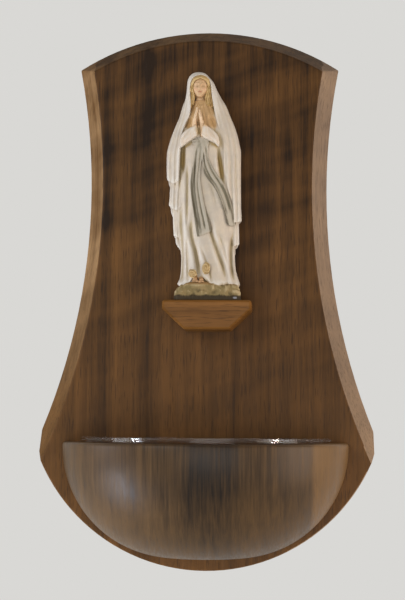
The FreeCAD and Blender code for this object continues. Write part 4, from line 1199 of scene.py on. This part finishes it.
SLEEVES = [
    # outline in the front view, and the elbow from which the folds fan out
    ([(-4.4, 74.0), (-6.8, 72.8), (-9.2, 71.4), (-10.9, 69.6), (-11.4, 67.4), (-11.1, 64.6), (-9.6, 65.4),
      (-7.8, 66.6), (-5.8, 67.9), (-4.2, 68.9), (-3.4, 70.4), (-3.7, 72.6)], (-12.4, 63.6)),
    ([(-0.8, 74.6), (1.2, 73.0), (3.2, 71.4), (4.9, 69.8), (5.7, 67.8), (5.3, 64.9), (3.8, 66.0),
      (2.0, 66.9), (0.2, 67.8), (-1.4, 68.6), (-2.2, 70.2), (-1.7, 72.6)], (6.6, 63.8)),
]
SLEEVE_HALF = 2.7
for shape, elbow in SLEEVES:
    outwards = np.abs(cloth.x + 2.8)
    middle_y = -8.9 + 0.26 * outwards - 0.06 * (cloth.z - 70)
    sleeve = common(patch(cloth.x, cloth.z, shape), np.abs(cloth.y - middle_y) - SLEEVE_HALF, 1.5)
    angle = np.arctan2(cloth.z - elbow[1], np.abs(cloth.x - elbow[0]))
    away = np.hypot(cloth.x - elbow[0], cloth.z - elbow[1])
    fold = np.abs(np.cos(10.0 * angle + 0.12 * away)) ** 0.7
    sleeve = sleeve + 0.34 * (1 - fold) * ramp(away, 1.0, 5.0) * ramp(12.5 - away, 0.0, 3.0)
    robes = join(robes, sleeve, 0.25)
# a core of cloth fills the gap between the two sleeves, behind the hands
robes = join(robes, limb(cloth, (-3.2, -6.0, 68.6), (-3.3, -8.0, 73.0), 1.2, 1.0), 0.3)
# each cuff is an open tube, from which a wrist comes
CUFFS = [((-5.6, -9.2, 72.4), (-4.6, -9.7, 77.0)), ((-1.0, -9.2, 71.8), (-1.9, -9.7, 76.8))]
for low_end, high_end in CUFFS:
    robes = cut(robes, limb(cloth, low_end, high_end, 0.9, 1.2), 0.25)
print("cloth: %d cubes of %.2f mm" % (robes.size, CLOTH_STEP))

# %% [markdown]
# ## Sash
# A grey-blue sash is tied at the waist under the clasped sleeves. Its two tails lie on the gown, one
# straight down and one swung out over the knee. It is a thin layer over the gown's body, so it
# follows the body and not the gown's folds, and it has long creases of its own.

# %% carve the sash
sash_block = Block((-9.0, -12.0, 24.0), (16.0, -2.0, 72.0), 0.2)
sash_body = tube(sash_block, GOWN, 2.2)
sash_body = sash_body - KNEE_PUSH * dab(sash_block, *KNEE)

SASH_PARTS = [
    # outline in the front view, thickness, creases
    ([(-4.6, 69.0), (-0.6, 69.2), (-0.6, 66.0), (-1.2, 62.0), (-2.3, 56.0), (-2.3, 50.0), (-1.4, 44.0),
      (-0.1, 38.0), (1.4, 33.0), (2.1, 29.4), (1.6, 28.2), (-1.0, 27.0), (-3.4, 26.2), (-4.1, 27.0),
      (-5.0, 33.0), (-6.0, 39.5), (-6.8, 46.0), (-6.8, 50.5), (-6.0, 56.0), (-5.3, 62.0), (-5.0, 66.0)], 0.85,
     [([(-3.9, 66.0), (-4.6, 58.0), (-5.3, 50.0), (-5.5, 45.0), (-4.5, 37.0), (-2.7, 28.4)], 0.42, 0.75),
      ([(-2.4, 64.0), (-3.2, 56.0), (-3.8, 49.0), (-3.0, 42.0), (-1.4, 34.0), (-0.2, 28.6)], 0.36, 0.55),
      ([(-6.0, 52.0), (-6.2, 46.0), (-5.4, 40.0), (-4.4, 33.0)], 0.3, 0.3)]),
    ([(-3.4, 69.0), (0.6, 69.0), (0.9, 64.0), (1.6, 58.8), (3.6, 54.6), (6.6, 50.4), (9.2, 45.4), (11.1, 40.4),
      (12.5, 34.8), (13.0, 32.4), (12.0, 31.2), (10.4, 30.8), (9.1, 31.8), (8.2, 35.4), (6.9, 39.4),
      (5.0, 44.2), (2.8, 48.0), (0.0, 51.4), (-1.4, 55.0), (-1.9, 62.0)], 1.15,
     [([(-0.4, 66.0), (0.3, 60.0), (2.4, 54.4), (5.4, 49.6), (8.2, 43.8), (10.6, 36.0)], 0.40, 0.75),
      ([(-1.2, 64.0), (-0.6, 57.0), (1.6, 51.8), (4.4, 47.6), (7.2, 41.2), (9.4, 34.0)], 0.36, 0.7),
      ([(0.5, 64.0), (1.2, 60.0), (3.2, 56.0), (6.4, 50.8)], 0.25, 0.35)]),
]
SASH_SHADES = [
    # dark glaze and painted shade along the edges and in the deep folds: points and width
    ([(-5.4, 62.0), (-6.3, 53.0), (-6.3, 46.0), (-5.4, 39.5), (-4.4, 33.0), (-3.4, 26.0), (-3.2, 22.0)], 0.75),
    ([(-4.4, 64.0), (-5.0, 55.0), (-5.1, 47.0), (-4.1, 39.0), (-2.7, 31.0), (-2.0, 24.0)], 0.5),
    ([(-1.6, 58.0), (-1.9, 50.0), (-0.9, 43.0), (0.4, 36.0), (1.6, 30.0), (2.2, 26.0)], 0.5),
    ([(8.4, 48.0), (10.6, 43.0), (12.1, 37.0), (13.0, 31.0), (13.2, 28.0)], 0.75),
    ([(-1.6, 60.0), (-0.8, 54.0), (1.6, 50.0), (4.2, 45.4), (6.6, 39.6), (9.0, 32.0), (9.8, 28.0)], 0.7),
    ([(5.6, 50.6), (8.6, 44.6), (10.9, 37.0), (11.8, 30.0)], 0.4),
    ([(1.4, 62.0), (2.0, 58.6), (4.2, 54.4), (7.2, 49.8)], 0.5),
]
tails = []
for shape, thickness, creases in SASH_PARTS:
    tail = common(sash_body - thickness, patch(sash_block.x, sash_block.z, shape), 0.7)
    for points, width, depth in creases:
        tail = tail + crease(sash_block, points, width, depth, 0.1)
    tails.append(tail)
sash = joined(tails, 0.1)
# the tied band across the waist
WAIST_RISE = 0.05 * 0.3            # mm per square mm: the band rises towards both its ends
waist_middle = 67.4 + WAIST_RISE * (sash_block.x + 2.6) ** 2
waist = common(sash_body - 0.95, np.abs(sash_block.z - waist_middle) - 1.7, 0.6)
waist = common(waist, np.abs(sash_block.x + 2.4) - 3.9, 0.5)
for level in (66.7, 67.9):
    waist = waist + crease(sash_block, [(-8.0, level), (-2.0, level + 0.3), (4.0, level)], 0.3, 0.35, 0.05)
sash = join(sash, waist, 0.15)
# hollow behind, so that only a layer is left
sash = cut(sash, sash_body + 1.2, 0.1)
sash_shade = 0.0
for points, width in SASH_SHADES:
    sash_shade = np.maximum(sash_shade, crease(sash_block, points, width, 1.0, 0.2))
print("sash: %d cubes" % sash.size)

# %% [markdown]
# ## Head
# The head is an egg, about a ninth of the figure's height, set a little forward on the neck and
# turned to the front. The face is a general one on the proportions that any drawing book gives: the
# eyes half way down the head, the nose half way from brow to chin, the mouth a third below it, a calm
# mouth and lowered lids. It is carved at a finer step than the cloth.

# %% carve the head
HEAD = (-2.75, -0.6, 91.9)
HEAD_TILT = math.radians(-2.5)
HEAD_SCALE = 1.27


class Turned:
    """A block seen in a form's own directions: moved to its middle and tilted sideways."""

    def __init__(self, block, middle, tilt):
        x = (block.x - middle[0]) / HEAD_SCALE
        z = (block.z - middle[2]) / HEAD_SCALE
        self.x = x * math.cos(tilt) + z * math.sin(tilt)
        self.z = z * math.cos(tilt) - x * math.sin(tilt)
        self.y = (block.y - middle[1]) / HEAD_SCALE


head_block = Block((-7.2, -6.4, 82.0), (2.0, 3.6, 98.0), 0.11)
face = Turned(head_block, HEAD, HEAD_TILT)
head = ball(face, (0, 0.4, 0.9), (2.85, 3.4, 3.3))
head = join(head, ball(face, (0, -0.75, -1.2), (2.3, 2.35, 3.0)), 1.2)
head = join(head, ball(face, (0, -2.35, -3.35), (0.85, 0.75, 0.62)), 0.9)
for side in (-1, 1):
    head = join(head, ball(face, (side * 1.2, -2.05, -1.25), (0.85, 0.75, 0.9)), 0.9)
    head = cut(head, ball(face, (side * 1.08, -3.55, -0.02), (0.80, 0.85, 0.5)), 0.55)
    eye = ball(face, (side * 1.05, -2.32, -0.1), (0.62, 0.52, 0.46))
    lid = common(ball(face, (side * 1.05, -2.36, -0.08), (0.70, 0.60, 0.52)), -(face.z + 0.16), 0.08)
    head = join(join(head, eye, 0.08), lid, 0.06)
    head = join(head, limb(face, (side * 1.75, -2.25, 0.62), (side * 0.5, -2.95, 0.66), 0.22, 0.25), 0.45)
head = join(head, limb(face, (0, -2.75, 0.5), (0, -3.45, -1.2), 0.22, 0.36), 0.4)
for side in (-1, 1):
    head = join(head, ball(face, (side * 0.36, -3.1, -1.3), (0.26, 0.34, 0.24)), 0.15)
head = join(head, ball(face, (0, -2.6, -2.3), (0.95, 0.55, 0.7)), 0.5)
for side in (-1, 1):
    head = join(head, limb(face, (side * 0.62, -2.72, -2.2), (side * 0.14, -3.12, -2.06), 0.10, 0.19), 0.12)
head = join(head, limb(face, (-0.42, -2.88, -2.52), (0.42, -2.88, -2.52), 0.17, 0.17), 0.14)
head = join(head, limb(face, (0, -3.04, -2.52), (0, -3.06, -2.54), 0.18, 0.18), 0.2)
mouth = np.exp(-((face.z + 2.27 - 0.12 * face.x ** 2) / 0.09) ** 2)
head = head + 0.16 * mouth * (np.abs(face.x) < 0.75) * (face.y < -2)
neck = limb(head_block, (-2.7, 0.6, 90.0), (-2.75, 1.0, 82.2), 2.1, 2.7)
head = join(head * HEAD_SCALE, neck, 0.9)

# where the paint changes on the face
lips = np.exp(-((face.z + 2.29) / 0.34) ** 2 - (face.x / 0.72) ** 4) * (face.y < -2)
cheeks = np.exp(-((np.abs(face.x) - 1.45) / 0.7) ** 2 - ((face.z + 1.35) / 0.7) ** 2) * (face.y < -1)
brows = np.exp(-((face.z - 0.78 + 0.16 * (np.abs(face.x) - 1.1) ** 2) / 0.13) ** 2
               - ((np.abs(face.x) - 1.1) / 0.62) ** 4)
lashes = np.exp(-((face.z + 0.27 - 0.1 * (np.abs(face.x) - 1.05) ** 2) / 0.12) ** 2
                - ((np.abs(face.x) - 1.05) / 0.58) ** 4)
lines = np.maximum(0.55 * brows, 0.9 * lashes) * (face.y < -1)
lips, cheeks, lines = [mark.astype(np.float32) for mark in (lips, cheeks, lines)]

# %% carve the hair
hair_block = Block((-8.6, -6.4, 80.4), (3.2, 4.2, 98.4), 0.13)
hair_frame = Turned(hair_block, HEAD, HEAD_TILT)
cap = ball(hair_frame, (0, 0.2, 1.0), (3.45, 3.9, 3.85))
HAIRLINE = [(0, 3.0), (1.2, 2.4), (2.2, 1.3), (2.55, 0.0), (2.45, -1.4), (1.9, -3.4), (0, -6.4),
            (-1.9, -3.4), (-2.45, -1.4), (-2.55, 0.0), (-2.2, 1.3), (-1.2, 2.4)]
window = patch(hair_frame.x, hair_frame.z, HAIRLINE, 5)
cap = cut(cap, common(window, hair_frame.y + 0.4, 0.3), 0.35)
LOCKS = [
    # from the temples down to the shoulders: points and radii
    [(2.55, -1.2, 0.6, 0.6), (2.75, -1.3, -1.4, 0.85), (2.8, -1.2, -3.6, 1.05), (3.0, -0.9, -5.8, 1.0),
     (3.3, -0.8, -7.4, 0.45)],
    [(2.8, -0.4, 0.4, 0.8), (3.3, -0.5, -2.0, 1.2), (3.8, -0.6, -5.0, 1.1), (4.3, -0.7, -6.8, 0.6)],
    [(-2.55, -1.2, 0.6, 0.6), (-2.75, -1.3, -1.4, 0.85), (-2.85, -1.2, -3.8, 1.1), (-3.1, -0.9, -6.2, 1.1),
     (-3.4, -0.6, -7.6, 0.8)],
    [(-2.8, -0.4, 0.4, 0.8), (-3.0, -0.3, -2.0, 1.1), (-3.2, -0.2, -5.4, 1.0), (-3.6, -0.3, -7.0, 0.5)],
]
hair = cap
for lock in LOCKS:
    for (*upper, upper_radius), (*lower, lower_radius) in zip(lock[:-1], lock[1:]):
        hair = join(hair, limb(hair_frame, upper, lower, upper_radius, lower_radius), 0.3)
# strands: fine grooves that run from the parting over the temples and down in waves
down = hair_frame.z
swing = np.arctan2(np.abs(hair_frame.x) + 0.2, np.maximum(hair_frame.z - 1.0, -0.2) + 0.35)
strand_cap = np.sin(11.0 * np.hypot(hair_frame.y + 0.4, 0.6 * hair_frame.x) + 3.0 * swing)
strand_lock = np.sin(8.5 * np.abs(hair_frame.x) + 4.0 * hair_frame.y + 1.7 * np.sin(1.1 * down))
mix_down = ramp(-down, -1.2, 0.6)
hair = HEAD_SCALE * (hair + 0.14 * (strand_cap * (1 - mix_down) + strand_lock * mix_down))
# the locks stay under the veil
hair = common(hair, tube(hair_block, VEIL, 2.15) + 0.9 - 6.0 * ramp(hair_block.z, 88.5, 93.0), 0.2)
print("head: %d cubes, hair: %d cubes" % (head.size, hair.size))

# %% [markdown]
# ## Hands
# The hands are laid palm to palm with the fingers up, so from the front only their narrow outer
# edges show, and from the side the four fingers lie one behind the other.

# %% carve the hands
hand_block = Block((-8.4, -13.4, 68.0), (2.4, -5.0, 84.0), 0.11)
TOUCH = (-3.45, 81.2)              # x and z of the place where the fingertips meet
WRISTS = [
    # side of the body, place, how much lower than TOUCH its fingertips end
    (-1, (-5.4, -8.2, 70.4), 0.0),
    (1, (-1.3, -8.2, 69.8), 0.9),
]
PALM_BONES = (-1.15, -0.4, 0.4, 1.1)                                # their depths
FINGERS = [(-1.55, 1.5), (-0.62, 0.5), (0.3, 0.0), (1.15, 0.55)]    # depth, and how much shorter it is


def hand(side, wrist, lower):
    """A flat hand: palm bones, four fingers bent at the middle and a thumb."""
    wrist_x, wrist_y, wrist_z = wrist
    tip_x = TOUCH[0] + side * 0.42
    tip_z = TOUCH[1] - lower
    lean = (tip_x - wrist_x) / (tip_z - wrist_z)
    knuckle_z = wrist_z + 0.50 * (tip_z - wrist_z)
    knuckle_x = wrist_x + (knuckle_z - wrist_z) * lean + side * 0.25
    form = joined([limb(hand_block, (wrist_x, wrist_y + depth * 0.55, wrist_z),
                        (knuckle_x, wrist_y + depth * 1.05 - 0.5, knuckle_z), 0.98, 0.88)
                   for depth in PALM_BONES], 0.5)
    for depth, short in FINGERS:
        knuckle = (knuckle_x, wrist_y - 0.5 + depth, knuckle_z - 0.3)
        middle = ((knuckle_x + tip_x) / 2 + side * 0.12, wrist_y - 0.75 + depth,
                  (knuckle_z + tip_z - short) / 2)
        tip = (tip_x, wrist_y - 0.85 + depth * 0.85, tip_z - short)
        finger = join(limb(hand_block, knuckle, middle, 0.68, 0.60),
                      limb(hand_block, middle, tip, 0.60, 0.40), 0.15)
        form = join(form, finger, 0.12)
    thumb = limb(hand_block, (wrist_x + lean * 1.5, wrist_y + 1.0, wrist_z + 1.5),
                 (knuckle_x - side * 0.25, wrist_y + 1.55, knuckle_z + 0.6), 0.62, 0.46)
    return join(form, thumb, 0.3)


hands = joined([hand(*wrist) for wrist in WRISTS], 0.05)
print("hands: %d cubes" % hands.size)

# %% [markdown]
# ## Feet and roses
# The toes of both feet look out under the lifted hem, and each foot carries a small gilded rose, whose
# petals wind outwards from the bud.

# %% carve the feet
feet_block = Block((-8.5, -12.6, 5.5), (1.8, -4.0, 13.5), 0.13)


def foot(side, x, z):
    """An instep and five toes, of which the inner one is the great toe."""
    form = limb(feet_block, (x - side * 0.2, -5.5, z + 1.9), (x, -8.9, z + 0.25), 1.35, 0.95)
    for toe in range(5):
        toe_x = x + (toe - 2) * 0.47
        from_great = abs(toe - (4 if side < 0 else 0))
        size = 0.27 if from_great else 0.40
        form = join(form, limb(feet_block, (toe_x, -9.0, z - 0.1), (toe_x, -10.75 + 0.17 * from_great, z - 0.4),
                               size, size), 0.06)
    return form


feet = join(foot(-1, -4.95, 7.9), foot(1, -2.25, 7.7), 0.1)

# %% carve the roses


def rose(block, centre, size, tall, turn):
    """A small rose that faces forwards, whose petals wind outwards from the bud and have raised lips."""
    dx = (block.x - centre[0]) / size
    dz = (block.z - centre[2]) / (size * tall)
    away = np.hypot(dx, dz)
    angle = np.arctan2(dz, dx) + turn
    scallop = 1 + 0.09 * np.cos(5 * angle) * ramp(away, 0.4, 0.9)
    form = ball(block, centre, (size, size * 0.62, size * tall)) + size * 0.5 * (1 - scallop)
    winding = (2.4 * away - angle / (2 * math.pi) * (1 + (away > 0.3))) % 1.0
    lip = winding ** 2 * ramp(1.0 - winding, 0.0, 0.18)
    return form + size * 0.20 * (0.5 - lip) * ramp(away, 0.05, 0.2)


rose_block = Block((-9.0, -12.0, 8.0), (3.2, -7.4, 16.6), 0.11)
roses = join(rose(rose_block, (-5.8, -9.3, 10.5), 2.1, 0.85, 0.3),
             rose(rose_block, (0.0, -9.3, 12.7), 1.9, 1.35, 0.9))
print("feet: %d cubes, roses: %d cubes" % (feet.size, roses.size))

# %% [markdown]
# ## Rock
# The foot of the carving is a low rock with a flat underside. Its field is a block with a rounded top
# edge, roughened with lumps and cracks of seeded noise and with the short strokes of a gouge.

# %% carve the rock


def rough(block, size, seed):
    """Smooth seeded noise between -1 and 1 with lumps of about the given size."""
    axes = (block.x, block.y, block.z)
    out = np.random.default_rng(seed).uniform(-1, 1, [int(np.ptp(axis) / size) + 3 for axis in axes])
    for number, axis in enumerate(axes):
        at = (axis - axis.min()) / size
        part = ramp(at - at.astype(int), 0, 1)
        low_at = at.astype(int).ravel()
        out = np.take(out, low_at, axis=number) * (1 - part) + np.take(out, low_at + 1, axis=number) * part
    return out


rock_block = Block((-15.2, -11.6, -0.6), (15.2, 11.6, 9.6), 0.2)
ROCK = (14.3, 10.6, 6.9)           # half its width, half its depth and its height
ROCK_CORNER = 3.0
edge_x = np.abs(rock_block.x) - (ROCK[0] - ROCK_CORNER)
edge_y = np.abs(rock_block.y) - (ROCK[1] - ROCK_CORNER)
plan = (np.sqrt(np.maximum(edge_x, 0) ** 2 + np.maximum(edge_y, 0) ** 2)
        + np.minimum(np.maximum(edge_x, edge_y), 0) - ROCK_CORNER)
upper = rock_block.z - (ROCK[2] + 0.35 * np.exp(-((rock_block.x + 3) / 6) ** 2) - 0.03 * np.abs(rock_block.x))
upper = upper + 0.16 * np.maximum(-8.0 - rock_block.x, 0)
rock = common(plan + 0.10 * np.maximum(rock_block.z - 2.2, 0), upper, 3.4)
lumps = 0.50 * rough(rock_block, 3.6, 5) + 0.14 * rough(rock_block, 1.4, 6) + 0.07 * rough(rock_block, 0.6, 7)
cracks = 0.20 * np.exp(-(rough(rock_block, 3.4, 12) / 0.14) ** 2)
strokes = np.abs(np.sin(1.15 * rock_block.x + 1.5 * rough(rock_block, 3.5, 8))) ** 0.7 * 0.14
rock = rock + (lumps + strokes + cracks) * ramp(rock_block.z, 1.4, 2.6)
rock = join(rock, ball(rock_block, (-3.2, -7.2, 5.9), (5.6, 3.2, 1.9)), 0.8)
plinth = common(plan + 0.25 + 0.06 * rough(rock_block, 0.8, 9), rock_block.z - 2.0, 0.2)
rock = join(rock, plinth, 0.2)
rock = common(rock, -rock_block.z, 0.1)
PIN_HOLE_RADIUS = 1.6
rock = cut(rock, limb(rock_block, (0, 0, -1.0), (0, 0, 5.0), PIN_HOLE_RADIUS, PIN_HOLE_RADIUS))
print("rock: %d cubes" % rock.size)

# %% [markdown]
# ## Paint on the figure
# Thin matt paint is brushed on the lime wood and wiped, so a glaze stays in the hollows. The paint also
# holds painted light: the ridges are painted lighter as a highlight, and the hollows are painted darker as
# shade. Each mesh carries marks as attributes: how hollow each spot is, which is the difference between
# the form and a blurred copy of it, and where the carver laid gold, warm glaze or earth, along with painted
# shade under the sleeves and along the sash's edges and a lighter warm tone on the chest. The material
# mixes its glazes by these marks and breaks them up with brush noise. The eye takes the soft, uneven edges
# of the glazes for a brush.

# %% the paint finish
CLOUD_OF_PAINT = 4.17              # mm from one thin patch of paint to the next
BRUSH_MARK = 0.5882                # mm across a brush mark, coarse enough to show
BRUSH_LENGTH = 0.22                # share of the noise's scale that is left along a stroke


def painted(name, base, clouds, tints, gloss, metal=0.0):
    """Layers of glaze over a base colour; on the hollow mark they are also painted shade in the hollows and
    a painted highlight on the ridges. A tint is (mark, colour, value at which it starts, value at which it
    is full, strength)."""
    material, tree = bare(name)
    spot = add(tree, "TexCoord").outputs["Object"]
    cloud = add(tree, "TexNoise", {"Vector": spot, "Scale": to_the_metre(CLOUD_OF_PAINT), "Detail": 3.0,
                                   "Roughness": 0.6})
    stretched = add(tree, "Mapping", {"Vector": spot, "Scale": (1.0, 1.0, BRUSH_LENGTH)})
    brush = add(tree, "TexNoise", {"Vector": stretched, "Scale": to_the_metre(BRUSH_MARK), "Detail": 3.0})
    patches = add(tree, "MapRange", {0: cloud, 1: 0.36, 2: 0.66})
    colour = add(tree, "Mix", {0: patches, 6: linear(base), 7: linear(clouds)}, data_type="RGBA")
    loose = add(tree, "Math", {0: brush, 1: 0.5}, operation="SUBTRACT")
    for mark, tint, start, full, strength in tints:
        value = add(tree, "Attribute", attribute_name=mark).outputs["Fac"]
        uneven = add(tree, "Math", {0: loose, 1: (full - start) * 0.9, 2: value}, operation="MULTIPLY_ADD")
        amount = add(tree, "MapRange", {0: uneven, 1: start, 2: full, 3: 0.0, 4: strength},
                     interpolation_type="SMOOTHSTEP")
        colour = add(tree, "Mix", {0: amount, 6: colour, 7: linear(tint)}, data_type="RGBA")
    rough = add(tree, "MapRange", {0: brush, 1: 0.3, 2: 0.7, 3: gloss - 0.08, 4: gloss + 0.10})
    relief = add(tree, "Bump", {"Height": brush, "Distance": 0.05 * MM, "Strength": 0.5})
    surfaced(material, {"Base Color": colour, "Metallic": metal, "Roughness": rough,
                        "Specular IOR Level": 0.35, "Normal": relief})
    return material


# %% mix the paints
# in each paint a tint on the hollow mark below zero is a painted highlight on the ridges, and the tints above
# zero are glaze and painted shade in the hollows
ivory = painted(
    "Glazed_ivory_on_lime", "#c5b7a3", "#b8ac9d",
    [("hollow", "#dad4ca", -0.10, -0.5, 0.6), ("hollow", "#9a875d", 0.03, 0.36, 0.68),
     ("hollow", "#685836", 0.26, 0.7, 0.6), ("gild", "#a0844c", 0.2, 1.0, 0.75),
     ("warm", "#c39e6e", 0.1, 0.8, 0.95)],
    gloss=0.5,
)
grey_blue = painted(
    "Glazed_grey_blue_on_lime", "#716a56", "#817965",
    [("hollow", "#b5ab9a", -0.03, -0.32, 0.8), ("hollow", "#595239", 0.0, 0.16, 0.9),
     ("hollow", "#37311f", 0.16, 0.42, 0.85), ("shade", "#544b34", 0.1, 0.9, 0.85)],
    gloss=0.5,
)
flesh = painted(
    "Glazed_flesh_on_lime", "#cba984", "#c19e76",
    [("cheeks", "#cf9c79", 0.1, 1.0, 0.5), ("lips", "#ad6f58", 0.3, 0.9, 0.8),
     ("lines", "#6b4f35", 0.25, 0.9, 0.7), ("hollow", "#a57c50", 0.03, 0.25, 0.6)],
    gloss=0.45,
)
hand_flesh = painted(
    "Glazed_hand_flesh_on_lime", "#d0ae88", "#c7a47d",
    [("hollow", "#e0c6a6", -0.03, -0.25, 0.6), ("hollow", "#8d6840", 0.02, 0.2, 0.85)],
    gloss=0.45,
)
foot_flesh = painted(
    "Glazed_foot_flesh_on_lime", "#b8936c", "#ab855c", [("hollow", "#84603a", 0.02, 0.2, 0.8)], gloss=0.5,
)
golden_hair = painted(
    "Glazed_golden_hair_on_lime", "#b3925b", "#a2804b",
    [("hollow", "#c9ac78", -0.02, -0.25, 0.7), ("hollow", "#6b4c24", 0.01, 0.14, 0.85)],
    gloss=0.5,
)
gilt = painted(
    "Gilt_roses", "#ab8d5e", "#9a7e50",
    [("hollow", "#cdb88f", -0.02, -0.25, 0.7), ("hollow", "#644c2a", 0.01, 0.14, 0.85)],
    gloss=0.42, metal=0.25,
)
mossy = painted(
    "Glazed_moss_and_stone_on_lime", "#8f7950", "#7c6c45",
    [("hollow", "#b8a37b", -0.03, -0.26, 0.8), ("hollow", "#574a2d", 0.02, 0.24, 0.85),
     ("soil", "#8d693b", 0.1, 0.9, 0.75), ("foot", "#261a05", 0.15, 0.95, 0.95),
     ("chip", "#8d8d92", 0.4, 0.8, 0.85)],
    gloss=0.75,
)

# %% mesh and paint the figure
# lines of painted shadow under the sleeves
UNDER_SLEEVES = [
    [(-11.0, 63.4), (-9.6, 64.6), (-7.6, 65.8), (-5.2, 67.2)],
    [(-0.4, 67.4), (2.0, 66.3), (3.9, 65.3), (5.4, 64.0)],
]
# warm glaze in the opening beside the neck, and faintly on the sleeves; laid over the hollow tints, it also
# lifts the hood's shade off the chest, which is painted light
warm = ramp(cloth.z, 70.5, 75.5) * ramp(90.0 - cloth.z, 0, 2.0) * ramp(-opening, -0.4, 1.4) * front
warm = np.maximum(warm, 0.32 * ramp(-cloth.y, 7.5, 9.0) * ramp(cloth.z, 62, 65) * ramp(77.5 - cloth.z, 0, 1))
# old gold and painted shade: between the cuffs, in the hollows and under the sleeves it stands for shade as
# well as gold, along the hem it is gold
gild = 1.2 * dab(cloth, -3.1, 71.4, 1.7, 2.4) * front
for points, width, _ in HOLLOWS:
    gild = np.maximum(gild, crease(cloth, points, width * 1.4, 1.0, 0.45) * front * ramp(-opening, -0.6, 0.4))
for points in UNDER_SLEEVES:
    gild = np.maximum(gild, crease(cloth, points, 0.5, 1.0, 0.3) * front)
trim = np.exp(-((cloth.z - hem_line - 0.2) / 1.0) ** 2) * ramp(cloth.x, -6.5, -2.0) * front
gild = np.maximum(gild, 0.7 * trim)
foot_band = ramp(3.1 + 0.4 * rough(rock_block, 3.0, 11) - rock_block.z, 0.0, 1.7)
soil = ramp(rock_block.z, 5.4, 7.2)
# a small pale grey spot low on the front of the rock
chip = dab(rock_block, 12.0, 1.0, 1.3, 0.6) * (rock_block.y < 0)

FIGURE_PARTS = [
    # name, block, field, paint, reach of the blur, marks, thinning
    ("robes", cloth, robes, ivory, 6, {"gild": gild, "warm": warm}, 0.02),
    ("sash", sash_block, sash, grey_blue, 6, {"shade": sash_shade}, 0.02),
    ("head", head_block, head, flesh, 4, {"lips": lips, "cheeks": cheeks, "lines": lines}, 0.0),
    ("hair", hair_block, hair, golden_hair, 4, {}, 0.01),
    ("hands", hand_block, hands, hand_flesh, 5, {}, 0.01),
    ("feet", feet_block, feet, foot_flesh, 4, {}, 0.01),
    ("roses", rose_block, roses, gilt, 4, {}, 0.01),
    ("rock", rock_block, rock, mossy, 4, {"soil": soil, "foot": foot_band, "chip": chip}, 0.01),
]
for figure_part in FIGURE_PARTS:
    carved(*figure_part)
